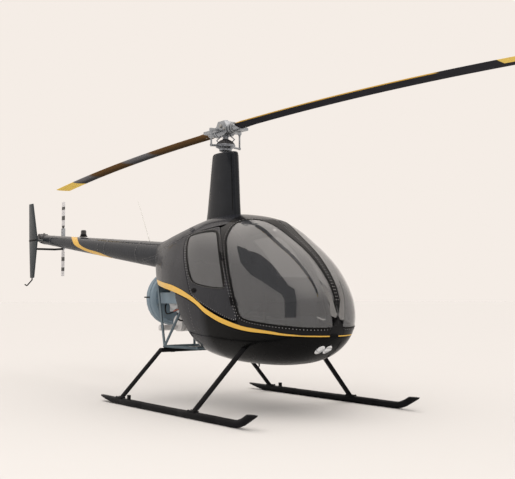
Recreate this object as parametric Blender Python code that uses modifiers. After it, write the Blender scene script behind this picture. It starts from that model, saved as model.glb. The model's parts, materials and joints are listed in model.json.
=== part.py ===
"""Light two-seat helicopter, parked on its skids.

Metres, +Z up, nose towards +X, port side towards +Y, ground at Z = 0.
Pieces are drawn in the mast frame, whose X and Y are zero on the main rotor
mast, and their objects are then placed MAST_X along X, so that the origin
is under the middle of the whole machine.
"""
import math

import bmesh
import bpy
import numpy as np
from mathutils import Matrix, Vector

# Placing and fits
MAST_X = 0.405          # mast ahead of the origin
GAP = 0.0003            # left between pieces that touch
LINING_GAP = 0.0008     # between the skin and what lines it
DOOR_GAP = 0.006        # running clearance round a door
SPIN_GAP = 0.006        # running clearance round a turning part

# Main rotor
ROTOR_R = 3.84
HUB_Z = 2.70
CHORD = 0.183
BLADE_ROOT = 0.262        # end of the grips
BLADE_TILT = 0.0164     # rotor disc leans back, radians
BLADE_DROOP = 0.155     # static droop at the tip
DROOP_POWER = 2.2
MAST_RADIUS = 0.030
MAST_BOTTOM = 2.25

# Tail rotor
TAIL_ROTOR = Vector((-4.362, 0.297, 1.855))
TAIL_R = 0.533
TAIL_CHORD = 0.102

# Landing gear
TREAD_HALF = 0.928
SKID_RADIUS = 0.032
STRUT_FRONT_X = (0.816, 0.869)      # foot, top
STRUT_REAR_X = (-0.425, -0.394)
CROSS_Y = 0.50
CROSS_Z = 0.50
CROSS_RADIUS = 0.022
SADDLE_Z = 0.072
STUD_X = -0.262
STUD_Z = 0.102

# Walls
WALL = 0.020
DOOR_WALL = 0.024
GLASS = 0.005

# Fuselage sections, nose to tail: x, lowest z, highest z, half width,
# z of the greatest width, roundness above it, roundness below it
SECTIONS = (
    (1.618, 0.870, 0.870, 0.000, 0.870, 2.0, 2.0),
    (1.590, 0.705, 1.040, 0.185, 0.865, 2.0, 2.0),
    (1.500, 0.575, 1.200, 0.320, 0.860, 2.1, 2.1),
    (1.320, 0.475, 1.390, 0.435, 0.870, 2.2, 2.2),
    (1.080, 0.425, 1.560, 0.510, 0.890, 2.3, 2.3),
    (0.780, 0.410, 1.735, 0.550, 0.920, 2.3, 2.4),
    (0.430, 0.420, 1.812, 0.560, 0.960, 2.3, 2.5),
    (0.100, 0.470, 1.830, 0.550, 1.020, 2.3, 2.5),
    (-0.200, 0.600, 1.797, 0.505, 1.080, 2.2, 2.4),
    (-0.500, 0.800, 1.742, 0.425, 1.160, 2.2, 2.4),
    (-0.780, 0.980, 1.692, 0.318, 1.250, 2.2, 2.3),
    (-0.920, 1.110, 1.664, 0.248, 1.360, 2.1, 2.2),
    (-1.020, 1.230, 1.648, 0.190, 1.445, 2.1, 2.1),
)
RING_POINTS = 32
NOSE_X = SECTIONS[0][0]
FULL_WALL_WIDTH = 0.30  # half width from which the wall has its whole thickness

# Panel lines seen from the side: x, z
SILL_LINE = ((1.75, 0.700), (1.48, 0.706), (1.25, 0.738), (1.00, 0.768), (0.77, 0.819),
             (0.50, 0.905), (0.21, 1.000), (-0.10, 1.065), (-0.40, 1.110), (-0.76, 1.155),
             (-0.80, 1.200), (-1.30, 1.420))
ROOF_LINE = ((-1.30, 1.425), (-0.89, 1.470), (-0.75, 1.505), (-0.49, 1.565), (-0.26, 1.606),
             (-0.10, 1.636), (0.07, 1.655), (0.22, 1.673), (0.35, 1.692))
ROOF_CORNER_Z = 1.706
ROOF_FRONT_X = 0.45
FIREWALL_LINE = ((0.205, 0.30), (0.120, 0.60), (-0.100, 1.03), (-0.170, 1.45), (-0.190, 1.90))
FIREWALL_THICK = 0.012
FLOOR_Z = 0.515
SEAT_Z = 0.740

# Outlines on the starboard skin, x and z, y follows from the sections
# Door: x, z, extra room that the opening leaves there for the door's swing
DOOR_OUTLINE = ((-0.10, 1.633, 0.000), (0.07, 1.650, 0.000), (0.22, 1.668, 0.000),
                (0.36, 1.686, 0.000), (0.42, 1.672, 0.000), (0.60, 1.450, 0.000),
                (0.755, 1.193, 0.000), (0.852, 0.981, 0.000), (0.915, 0.850, 0.004),
                (0.895, 0.805, 0.011), (0.77, 0.834, 0.011), (0.50, 0.920, 0.005),
                (0.27, 1.012, 0.001), (0.205, 1.060, 0.003), (0.11, 1.242, 0.004),
                (0.035, 1.358, 0.005), (-0.045, 1.478, 0.006), (-0.115, 1.585, 0.006))
DOOR_WINDOW = ((-0.035, 1.622), (0.20, 1.640), (0.365, 1.640), (0.435, 1.600), (0.560, 1.445),
               (0.655, 1.280), (0.725, 1.120), (0.715, 1.100), (0.43, 1.124), (0.27, 1.154),
               (0.205, 1.200), (0.085, 1.385), (-0.015, 1.540), (-0.045, 1.595))
# Windshield outline, x, y, z, from the rear lower corner up and round by the bow
WINDSHIELD = ((0.945, 0.531, 0.850), (0.885, 0.540, 0.999), (0.803, 0.529, 1.192),
              (0.695, 0.486, 1.401), (0.595, 0.423, 1.550), (0.575, 0.370, 1.620),
              (0.560, 0.310, 1.690), (0.590, 0.240, 1.730), (0.680, 0.170, 1.735),
              (0.830, 0.115, 1.705), (0.950, 0.085, 1.640), (1.130, 0.062, 1.525),
              (1.330, 0.048, 1.380), (1.474, 0.038, 1.230), (1.561, 0.030, 1.105),
              (1.604, 0.024, 0.980), (1.604, 0.024, 0.776), (1.560, 0.215, 0.768),
              (1.455, 0.344, 0.775), (1.263, 0.453, 0.794), (1.051, 0.513, 0.820))

# Corners that lie inside the door opening, x and z: foot of the front post,
# top of the belly shell under the door, lower and upper corner of the side cowl
POST_FOOT = ((0.935, 0.779), (0.860, 0.860))
UNDER_DOOR = ((0.77, 0.880), (0.50, 0.960), (0.27, 1.045))
COWL_TOE = (0.222, 1.050)
COWL_HEAD = ((-0.03, 1.600), (-0.085, 1.633))

# Door hinge: upper and lower knuckle on the starboard door
HINGE_TOP = Vector((0.655, -0.530, 1.40))
HINGE_LOW = Vector((0.862, -0.572, 1.00))
KNUCKLE_RADIUS = 0.009
KNUCKLE_LENGTH = 0.050

# Tail cone: axis height and radius at its two ends
CONE_FRONT = (-0.900, 1.458, 0.154)
CONE_REAR = (-4.280, 1.826, 0.064)
CONE_WALL = 0.004
FIN_Y = -0.160
FIN_THICK = 0.022

# Engine bay
CRANK_Z = 1.012
SCROLL_X = (-0.900, -1.075)
SCROLL_RADIUS = 0.285
TUBE_RADIUS = 0.0135
LOW_TUBE_Z = CROSS_Z + CROSS_RADIUS + TUBE_RADIUS + GAP
CYLINDER_X = (-0.300, -0.520)
CYLINDER_RADIUS = 0.066
CYLINDER_END = (0.340, 0.283)
FIN_DISC = 0.103
LAMP_Y = (-0.095, -0.018)
LAMP_Z = 0.578
LAMP_RADIUS = 0.036
MUFFLER = (-0.600, 0.755, 0.085)    # x, z, radius

# Colours: red, green, blue, roughness, metallic
FINISHES = {
    "gloss_black_paint": (0.030, 0.030, 0.034, 0.12, 0.0),
    "tinted_glazing": (0.20, 0.21, 0.22, 0.05, 0.0),
    "satin_black_paint": (0.022, 0.022, 0.024, 0.45, 0.0),
    "primer_grey_steel": (0.30, 0.36, 0.40, 0.45, 0.2),
    "blue_grey_shell": (0.42, 0.50, 0.56, 0.40, 0.0),
    "silver_metal": (0.55, 0.56, 0.57, 0.35, 0.9),
    "dark_casting": (0.12, 0.12, 0.13, 0.55, 0.6),
    "blade_paint": (0.05, 0.05, 0.05, 0.40, 0.0),
    "tail_blade_paint": (0.75, 0.75, 0.75, 0.35, 0.0),
    "seat_leather": (0.10, 0.09, 0.085, 0.55, 0.0),
    "cabin_plastic": (0.06, 0.06, 0.065, 0.60, 0.0),
    "lamp_glass": (0.85, 0.88, 0.90, 0.08, 0.0),
    "exhaust_steel": (0.48, 0.44, 0.40, 0.40, 0.9),
    "white_plastic": (0.85, 0.85, 0.83, 0.30, 0.0),
}


def clear_scene():
    """Remove whatever the scene holds."""
    for old in list(bpy.data.objects):
        bpy.data.objects.remove(old, do_unlink=True)


clear_scene()
PARTS = bpy.data.collections.new("helicopter")
CUTTERS = bpy.data.collections.new("cutters")
for group in (PARTS, CUTTERS):
    bpy.context.scene.collection.children.link(group)
MATERIALS = {}


def material(name):
    """Return the Principled material of one finish."""
    if name not in MATERIALS:
        red, green, blue, roughness, metallic = FINISHES[name]
        made = bpy.data.materials.new(name)
        made.use_nodes = True
        shader = made.node_tree.nodes["Principled BSDF"]
        shader.inputs["Base Color"].default_value = (red, green, blue, 1.0)
        shader.inputs["Roughness"].default_value = roughness
        shader.inputs["Metallic"].default_value = metallic
        MATERIALS[name] = made
    return MATERIALS[name]


def add_object(name, mesh, finish=None, origin=(0.0, 0.0, 0.0)):
    """Link a mesh drawn in the mast frame as a part, or as a cutter without a finish."""
    origin = Vector(origin)
    mesh.transform(Matrix.Translation(-origin))
    obj = bpy.data.objects.new(name, mesh)
    obj.location = origin + Vector((MAST_X, 0.0, 0.0))
    if finish:
        mesh.materials.append(material(finish))
        PARTS.objects.link(obj)
    else:
        CUTTERS.objects.link(obj)
        obj.hide_render = True
        obj.display_type = "WIRE"
    return obj


def mesh_from(build):
    """Return a mesh filled by build, which gets an empty bmesh."""
    work = bmesh.new()
    build(work)
    bmesh.ops.recalc_face_normals(work, faces=work.faces)
    mesh = bpy.data.meshes.new("piece")
    work.to_mesh(mesh)
    work.free()
    return mesh


def box_mesh(low, high):
    """A box between two corners."""
    low, high = Vector(low), Vector(high)
    size = high - low
    frame = Matrix.Translation((low + high) / 2) @ Matrix.Diagonal((*size, 1.0))
    return mesh_from(lambda work: bmesh.ops.create_cube(work, size=1.0, matrix=frame))


def span_box(xs, ys, zs):
    """A box from the pairs of values it spans on each axis, in any order."""
    spans = (xs, ys, zs)
    return box_mesh([min(pair) for pair in spans], [max(pair) for pair in spans])


def rod_mesh(start, end, radius, radius_end=None, sides=12):
    """A round rod or cone between two points."""
    start, end = Vector(start), Vector(end)
    along = end - start
    turn = along.to_track_quat("Z", "Y").to_matrix().to_4x4()
    frame = Matrix.Translation((start + end) / 2) @ turn
    tip = radius if radius_end is None else radius_end
    return mesh_from(lambda work: bmesh.ops.create_cone(
        work, cap_ends=True, segments=sides, radius1=radius, radius2=tip,
        depth=along.length, matrix=frame))


def loft_mesh(rings):
    """A closed skin through rings of equal point counts; one-point rings make tips."""
    def build(work):
        rows = [[work.verts.new(point) for point in ring] for ring in rings]
        for near, far in zip(rows, rows[1:]):
            count = max(len(near), len(far))
            for i in range(count):
                j = (i + 1) % count
                corners = [near[i % len(near)], near[j % len(near)],
                           far[j % len(far)], far[i % len(far)]]
                work.faces.new(list(dict.fromkeys(corners)))
        for row in (rows[0], rows[-1]):
            if len(row) > 2:
                work.faces.new(row)
    return mesh_from(build)


def outline_mesh(outline, y_low, y_high):
    """A side-view outline, x and z, drawn out from y_low to y_high."""
    return loft_mesh([[(x, y, z) for x, z in outline] for y in (y_low, y_high)])


def evaluated_mesh(obj):
    """The mesh of an object with its modifiers applied, in world space."""
    graph = bpy.context.evaluated_depsgraph_get()
    mesh = bpy.data.meshes.new_from_object(obj.evaluated_get(graph))
    mesh.transform(obj.matrix_world)
    return mesh


def bend_mesh(points, radius, sides_level=2):
    """A bent tube as a mesh, from a poly curve with filled caps."""
    data = bpy.data.curves.new("bend", "CURVE")
    data.dimensions = "3D"
    data.bevel_depth = radius
    data.bevel_resolution = sides_level
    data.use_fill_caps = True
    line = data.splines.new("POLY")
    line.points.add(len(points) - 1)
    for spot, point in zip(line.points, points):
        spot.co = (*point, 1.0)
    guide = bpy.data.objects.new("bend", data)
    bpy.context.scene.collection.objects.link(guide)
    bpy.context.view_layer.update()
    mesh = evaluated_mesh(guide)
    bpy.data.objects.remove(guide, do_unlink=True)
    work = bmesh.new()
    work.from_mesh(mesh)
    bmesh.ops.remove_doubles(work, verts=work.verts, dist=1e-5)
    bmesh.ops.recalc_face_normals(work, faces=work.faces)
    work.to_mesh(mesh)
    work.free()
    return mesh


def turned_object(name, profile, finish, origin, tilt=None, steps=32):
    """A turned piece: profile rows are radius and height, outer side top to bottom."""
    mesh = bpy.data.meshes.new(name)
    points = [(radius, 0.0, height) for radius, height in profile]
    mesh.from_pydata(points, [(i, i + 1) for i in range(len(points) - 1)], [])
    obj = add_object(name, mesh, finish)
    obj.location = Vector(origin) + Vector((MAST_X, 0.0, 0.0))
    if tilt is not None:
        obj.rotation_euler = tilt
    turn = obj.modifiers.new("turn", "SCREW")
    turn.steps = steps
    turn.render_steps = steps
    turn.use_merge_vertices = True
    turn.merge_threshold = 0.00001
    turn.use_smooth_shade = True
    return obj


def combine(obj, other, operation, solver="EXACT"):
    """Boolean of an object with a cutter."""
    step = obj.modifiers.new(operation.lower(), "BOOLEAN")
    step.operation = operation
    step.object = other
    step.solver = solver
    return obj


def joined(name, meshes, finish, origin=(0.0, 0.0, 0.0), solver="EXACT"):
    """One solid from overlapping pieces: the first one is the part, the rest are added."""
    obj = add_object(name, meshes[0], finish, origin)
    for index, mesh in enumerate(meshes[1:]):
        combine(obj, add_object(f"{name}_add_{index}", mesh), "UNION", solver)
    return obj


# Fuselage skin

def smooth_rows(rows, steps):
    """Catmull-Rom rows between the given ones."""
    rows = np.array(rows, dtype=float)
    out = []
    last = len(rows) - 1
    for i in range(last):
        before = rows[max(i - 1, 0)]
        here = rows[i]
        there = rows[i + 1]
        after = rows[min(i + 2, last)]
        for k in range(steps):
            t = k / steps
            out.append(0.5 * (2 * here + (there - before) * t
                              + (2 * before - 5 * here + 4 * there - after) * t * t
                              + (3 * here - before - 3 * there + after) * t ** 3))
    out.append(rows[-1])
    return np.array(out)


SKIN_ROWS = smooth_rows(SECTIONS, 2)
FINE_ROWS = smooth_rows(SECTIONS, 12)[::-1]


def section_at(x):
    """Lowest z, highest z, half width, widest z and the two roundnesses at x."""
    return [float(np.interp(x, FINE_ROWS[:, 0], FINE_ROWS[:, k])) for k in range(1, 7)]


def skin_y(x, z):
    """Distance of the skin from the middle plane at x and z."""
    low, high, half, wide, up, down = section_at(x)
    reach, power = (high - wide, up) if z >= wide else (wide - low, down)
    share = min(abs(z - wide) / reach, 1.0)
    return half * (1.0 - share ** power) ** (1.0 / power)


def skin_value(point):
    """Below zero inside the skin, above it outside."""
    low, high, half, wide, up, down = section_at(point.x)
    reach, power = (high - wide, up) if point.z >= wide else (wide - low, down)
    side = abs(point.y) / max(half, 0.001)
    return side ** power + (abs(point.z - wide) / max(reach, 0.001)) ** power - 1.0


def skin_normal(point):
    """Outward direction of the skin near a point."""
    step = 0.01
    slope = []
    for axis in range(3):
        shift = Vector((0.0, 0.0, 0.0))
        shift[axis] = step
        slope.append(skin_value(point + shift) - skin_value(point - shift))
    return Vector(slope).normalized()


def skin_solid(depth):
    """The fuselage as a solid whose surface lies depth inside the skin."""
    rings = []
    for x, low, high, half, wide, up, down in SKIN_ROWS:
        inset = depth * min(1.0, half / FULL_WALL_WIDTH)
        place = x - depth * max(x, 0.0) / NOSE_X
        if x == SKIN_ROWS[-1][0] and depth > 0:
            place = x - 0.01
        if half == 0.0:
            rings.append([(place, 0.0, wide)])
            continue
        ring = []
        for k in range(RING_POINTS):
            angle = math.tau * (k + 0.5) / RING_POINTS
            c, s = math.cos(angle), math.sin(angle)
            power = up if s >= 0 else down
            reach = (high - inset - wide) if s >= 0 else (wide - low - inset)
            y = (half - inset) * math.copysign(abs(c) ** (2 / power), c)
            ring.append((place, y, wide + reach * math.copysign(abs(s) ** (2 / power), s)))
        rings.append(ring)
    return loft_mesh(rings)


def on_skin(outline, side):
    """Side-view outline points moved to the skin of one side, -1 starboard, 1 port."""
    return [Vector((x, side * skin_y(x, z), z)) for x, z, *_ in outline]


def plug(name, points, grow, outside, inside):
    """A cutter through the wall round an outline on the skin, grown by a margin."""
    normals = [skin_normal(point) for point in points]
    count = len(points)
    middle = sum(points, Vector()) / count
    margins = grow if isinstance(grow, list) else [grow] * count
    moved = []
    for i, (point, normal, margin) in enumerate(zip(points, normals, margins)):
        before = (point - points[i - 1]).normalized()
        after = (points[(i + 1) % count] - point).normalized()
        away = (before + after).cross(normal).normalized()
        if away.dot(point - middle) < 0:
            away = -away
        mitre = 1.0 / max(math.cos(before.angle(after) / 2), 0.5)
        moved.append(point + margin * mitre * away)

    def build(work):
        caps = []
        for reach in (outside, -inside):
            ring = [work.verts.new(p + reach * n) for p, n in zip(moved, normals)]
            caps.append(ring)
            heart = work.verts.new(sum((v.co for v in ring), Vector()) / count)
            for i in range(count):
                work.faces.new((ring[i - 1], ring[i], heart))
        for i in range(count):
            work.faces.new((caps[0][i - 1], caps[0][i], caps[1][i]))
            work.faces.new((caps[0][i - 1], caps[1][i], caps[1][i - 1]))
    return add_object(name, mesh_from(build))


def shell_piece(name, depth, region, finish, origin=(0.0, 0.0, 0.0)):
    """A piece of the skin, depth thick, inside a region cutter."""
    obj = add_object(name, skin_solid(0.0), finish, origin)
    combine(obj, INNER[depth], "DIFFERENCE")
    combine(obj, region, "INTERSECT")
    return obj


INNER = {depth: add_object(f"inner_{int(depth * 1000)}", skin_solid(depth))
         for depth in (WALL, DOOR_WALL, GLASS)}
SIDES = (("right", -1), ("left", 1))
WIDE = 0.8              # half width of a cutter that spans the fuselage
HIGH = 2.2              # height of a cutter that clears the roof


def build_panels():
    """Nose and belly, canopy frame, roof, side cowls, glazing and doors."""
    door_holes, screens = {}, {}
    for label, side in SIDES:
        outline = on_skin(DOOR_OUTLINE, side)
        rooms = [DOOR_GAP / 2 + room for _, _, room in DOOR_OUTLINE]
        door_holes[label] = plug(f"door_hole_{label}", outline, rooms, 0.35, 0.10)
        screen = [Vector((x, side * y, z)) for x, y, z in WINDSHIELD]
        screens[label] = plug(f"screen_hole_{label}", screen, 0.0, 1.2, 0.10)

    half = GAP / 2
    back = [(x - GAP, z) for x, z in FIREWALL_LINE]
    ahead = [(x, z) for x, z in SILL_LINE if x > 0.95]
    behind = [(x, z) for x, z in SILL_LINE if -0.11 < x < 0.22]
    tub = [(x, z - half) for x, z in (*ahead, *POST_FOOT)]
    tub += [*UNDER_DOOR, (COWL_TOE[0] + half, COWL_TOE[1]), (behind[0][0] + half, behind[0][1])]
    tub += [(x, z - half) for x, z in behind] + [back[2], back[1], back[0], (1.75, 0.30)]
    tub_region = add_object("tub_region", outline_mesh(tub, -WIDE, WIDE))
    tub_piece = shell_piece("nose_belly_shell", WALL, tub_region, "gloss_black_paint")

    front_sill = [(x, z + half) for x, z in (*ahead, *POST_FOOT)]
    canopy = front_sill + [(0.30, 1.60), (ROOF_FRONT_X + half, ROOF_CORNER_Z - 0.01),
                           (ROOF_FRONT_X + half, HIGH), (1.75, HIGH)]
    canopy_region = add_object("canopy_region", outline_mesh(canopy, -WIDE, WIDE))
    canopy_piece = shell_piece("canopy_frame", WALL, canopy_region, "gloss_black_paint")

    roof = [(x, z + half) for x, z in ROOF_LINE]
    roof += [(ROOF_FRONT_X - half, ROOF_CORNER_Z), (ROOF_FRONT_X - half, HIGH), (-1.30, HIGH)]
    roof_region = add_object("roof_region", outline_mesh(roof, -WIDE, WIDE))
    roof_piece = shell_piece("roof_cowl", WALL, roof_region, "gloss_black_paint")

    aft_roof = [(x, z - half) for x, z in ROOF_LINE if x < -0.09]
    cowl = [(x, z + half) for x, z in SILL_LINE if x < 0.22][::-1]
    cowl += [(COWL_TOE[0] - half, COWL_TOE[1]), *COWL_HEAD] + aft_roof[::-1]
    for label, side in SIDES:
        ends = sorted((side * GAP / 2, side * WIDE))
        region = add_object(f"cowl_region_{label}", outline_mesh(cowl, *ends))
        piece = shell_piece(f"side_cowl_{label}", WALL, region, "gloss_black_paint")
        combine(piece, door_holes[label], "DIFFERENCE")
        for other in (tub_piece, canopy_piece, roof_piece):
            combine(other, door_holes[label], "DIFFERENCE")
        combine(canopy_piece, screens[label], "DIFFERENCE")
        build_fixed_hinges(canopy_piece, label, side)
        build_glazing(label, side)
        build_door(label, side)


def build_glazing(label, side):
    """One windshield half."""
    screen = [Vector((x, side * y, z)) for x, y, z in WINDSHIELD]
    region = plug(f"screen_region_{label}", screen, -GAP, 1.2, 0.10)
    shell_piece(f"windshield_{label}", GLASS, region, "tinted_glazing")


def hinge_points(side):
    """The two knuckle centres of a door."""
    return [Vector((p.x, -side * p.y, p.z)) for p in (HINGE_TOP, HINGE_LOW)]


def build_fixed_hinges(post, label, side):
    """The knuckles on the canopy post, just below those of the door."""
    top, low = hinge_points(side)
    axis = (top - low).normalized()
    for index, knuckle in enumerate((top, low)):
        upper = knuckle - axis * (KNUCKLE_LENGTH / 2 + GAP)
        lower = upper - axis * KNUCKLE_LENGTH * 0.6
        middle = (upper + lower) / 2
        inboard = Vector((0.008, -side * 0.060, 0.0))
        rod = rod_mesh(upper, lower, KNUCKLE_RADIUS, sides=10)
        arm = rod_mesh(middle, middle + inboard, 0.006, sides=8)
        combine(post, add_object(f"fixed_knuckle_{label}_{index}", rod), "UNION")
        combine(post, add_object(f"fixed_arm_{label}_{index}", arm), "UNION")


def build_door(label, side):
    """A door with its window opening, knuckles and glass."""
    top, low = hinge_points(side)
    outline = on_skin(DOOR_OUTLINE, side)
    window = on_skin(DOOR_WINDOW, side)
    region = plug(f"door_region_{label}", outline, -DOOR_GAP / 2, 0.35, 0.10)
    door = shell_piece(f"door_{label}", DOOR_WALL, region, "gloss_black_paint", low)
    combine(door, plug(f"door_window_{label}", window, 0.0, 0.35, 0.10), "DIFFERENCE")
    axis = (top - low).normalized()
    for index, knuckle in enumerate((top, low)):
        rod = rod_mesh(knuckle - axis * KNUCKLE_LENGTH / 2, knuckle + axis * KNUCKLE_LENGTH / 2,
                       KNUCKLE_RADIUS, sides=10)
        inboard = Vector((-0.040, -side * 0.045, 0.0))
        arm = rod_mesh(knuckle, knuckle + inboard, 0.006, sides=8)
        combine(door, add_object(f"knuckle_{label}_{index}", rod), "UNION")
        combine(door, add_object(f"hinge_arm_{label}_{index}", arm), "UNION")
    pane = plug(f"pane_region_{label}", window, -GAP, 0.35, 0.10)
    shell_piece(f"door_glass_{label}", GLASS, pane, "tinted_glazing", low)


build_panels()


def build_cabin():
    """Floor, firewall, seats and controls inside the canopy."""
    lining = skin_solid(WALL + LINING_GAP)

    wall = list(FIREWALL_LINE)
    wall += [(x + FIREWALL_THICK, z) for x, z in FIREWALL_LINE[::-1]]
    firewall = add_object("firewall", lining.copy(), "cabin_plastic")
    combine(firewall, add_object("firewall_slab", outline_mesh(wall, -WIDE, WIDE)), "INTERSECT")

    floor = add_object("cabin_floor", lining.copy(), "cabin_plastic")
    floor_back = 0.12 + FIREWALL_THICK + 0.055
    combine(floor, add_object("floor_slab", box_mesh((floor_back, -WIDE, FLOOR_Z - 0.012),
                                                     (1.42, WIDE, FLOOR_Z))), "INTERSECT")

    seat_box = add_object("seat_box", lining.copy(), "cabin_plastic")
    box_side = ((0.185, FLOOR_Z + GAP), (0.52, FLOOR_Z + GAP), (0.56, SEAT_Z), (0.085, SEAT_Z))
    combine(seat_box, add_object("seat_box_block", outline_mesh(box_side, -0.47, 0.47)), "INTERSECT")

    rest_z = SEAT_Z + 0.065
    cushion_side = ((0.09, SEAT_Z + GAP), (0.57, SEAT_Z + GAP), (0.60, SEAT_Z + 0.05),
                    (0.55, SEAT_Z + 0.078), (0.20, rest_z), (0.09, rest_z))
    back_side = ((0.060, rest_z + GAP), (0.155, rest_z + GAP), (0.03, 1.36), (-0.005, 1.40),
                 (-0.070, 1.38))
    for label, side in SIDES:
        ends = sorted((side * 0.055, side * 0.455))
        for name, outline in (("seat_cushion", cushion_side), ("seat_back", back_side)):
            add_object(f"{name}_{label}", outline_mesh(outline, *ends), "seat_leather")

    foot_z = FLOOR_Z + GAP
    pedestal = outline_mesh(((1.02, foot_z), (1.26, foot_z), (1.24, 1.00), (1.06, 1.00)), -0.10, 0.10)
    panel = outline_mesh(((1.035, 0.98), (1.21, 0.98), (1.18, 1.17), (1.12, 1.20), (1.06, 1.18)),
                         -0.21, 0.21)
    joined("instrument_console", [pedestal, panel], "cabin_plastic")

    post = bend_mesh([(0.66, 0.0, FLOOR_Z + GAP), (0.66, 0.0, 0.70), (0.60, 0.0, 0.98)], 0.014)
    bar = rod_mesh((0.60, -0.26, 0.98), (0.60, 0.26, 0.98), 0.011)
    grips = [rod_mesh((0.60, y, 0.99), (0.62, y, 0.86), 0.016) for y in (-0.255, 0.255)]
    joined("cyclic_t_bar", [post, bar, *grips], "satin_black_paint")

    lever = bend_mesh([(0.20, 0.0, SEAT_Z + GAP), (0.20, 0.0, 0.79), (0.23, 0.0, 0.81),
                       (0.50, 0.0, 0.90)], 0.013)
    joined("collective_lever", [lever, rod_mesh((0.46, 0.0, 0.885), (0.58, 0.0, 0.93), 0.018)],
           "satin_black_paint")

    bars = [box_mesh((0.980, -0.31, 0.600), (1.005, 0.31, 0.625))]
    for y in (-0.29, -0.16, 0.16, 0.29):
        bars.append(box_mesh((0.983, y - 0.012, FLOOR_Z + GAP), (1.002, y + 0.012, 0.610)))
        bars.append(box_mesh((0.975, y - 0.035, 0.590), (0.988, y + 0.035, 0.690)))
    joined("pedals", bars, "satin_black_paint")


def blade_section(chord, thick, lead_share, flip):
    """Section points of a blade: chordwise offset ahead of the pitch axis, height."""
    shape = ((1.0, 0.0), (0.93, 0.46), (0.72, 0.50), (0.30, 0.30), (0.0, 0.05),
             (0.0, -0.05), (0.30, -0.30), (0.72, -0.50), (0.93, -0.46))
    return [(flip * chord * (share - 1.0 + lead_share), thick * height) for share, height in shape]


def main_blade_z(x):
    """Height of the blade axis above the hub at a distance forward of the mast."""
    return BLADE_TILT * x - BLADE_DROOP * (abs(x) / ROTOR_R) ** DROOP_POWER


def build_main_rotor():
    """Mast with its swashplate, hub with grips and horns, and two blades."""
    centre = (0.0, 0.0, HUB_Z)
    profile = ((0.0, 2.800), (0.024, 2.800), (MAST_RADIUS, 2.792), (MAST_RADIUS, 2.604),
               (0.046, 2.599), (0.076, 2.581), (0.093, 2.558), (0.093, 2.553), (0.099, 2.548),
               (0.099, 2.525), (0.084, 2.520), (0.064, 2.506), (0.064, 2.489), (0.045, 2.485),
               (MAST_RADIUS, 2.480), (MAST_RADIUS, MAST_BOTTOM), (0.0, MAST_BOTTOM))
    turned_object("rotor_mast", [(r, z - HUB_Z) for r, z in profile], "dark_casting", centre, steps=24)

    crown = ((-0.088, 2.662), (-0.052, 2.640), (0.052, 2.640), (0.088, 2.662), (0.088, 2.728),
             (0.052, 2.786), (-0.052, 2.786), (-0.088, 2.728))
    hub = [outline_mesh(crown, -0.058, 0.058)]
    for end in (1, -1):
        for near, far, wide, slim in ((0.070, BLADE_ROOT, 0.045, 0.038), (0.108, 0.130, 0.059, 0.059),
                                      (0.146, 0.160, 0.054, 0.054)):
            hub.append(rod_mesh((end * near, 0, HUB_Z + main_blade_z(end * near)),
                                (end * far, 0, HUB_Z + main_blade_z(end * far)), wide, slim, sides=14))
        hub.append(span_box((end * 0.165, end * 0.225), (0.0, end * 0.10), (2.675, 2.705)))
        hub.append(span_box((-end * 0.015, end * 0.225), (end * 0.085, end * 0.115), (2.676, 2.702)))
        hub.append(span_box((-0.015, 0.015), (end * 0.09, end * 0.190), (2.676, 2.702)))
        hub.append(rod_mesh((0, end * 0.176, 2.524), (0, end * 0.176, 2.690), 0.009, sides=10))
        hub.append(rod_mesh((0, end * 0.176, 2.530), (0, end * 0.1025, 2.536), 0.011, sides=10))
    rotor_hub = joined("rotor_hub", hub, "silver_metal", centre)
    bore = rod_mesh((0, 0, 2.60), (0, 0, 2.80), MAST_RADIUS + 0.004 + GAP, sides=24)
    combine(rotor_hub, add_object("hub_bore", bore), "DIFFERENCE")

    stations = ((BLADE_ROOT + 0.0012, 0.62, 0.052), (0.340, 0.92, 0.040), (0.430, 1.0, 0.026),
                (1.40, 1.0, 0.023), (2.20, 1.0, 0.022), (3.00, 1.0, 0.021), (3.60, 1.0, 0.020), (ROTOR_R, 1.0, 0.018))
    for label, end in (("front", 1), ("rear", -1)):
        rings = []
        for reach, width, thick in stations:
            x = end * reach
            rings.append([(x, dy, HUB_Z + main_blade_z(x) + dz)
                          for dy, dz in blade_section(CHORD * width, thick, 0.30, end)])
        add_object(f"main_blade_{label}", loft_mesh(rings), "blade_paint", centre)


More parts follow.
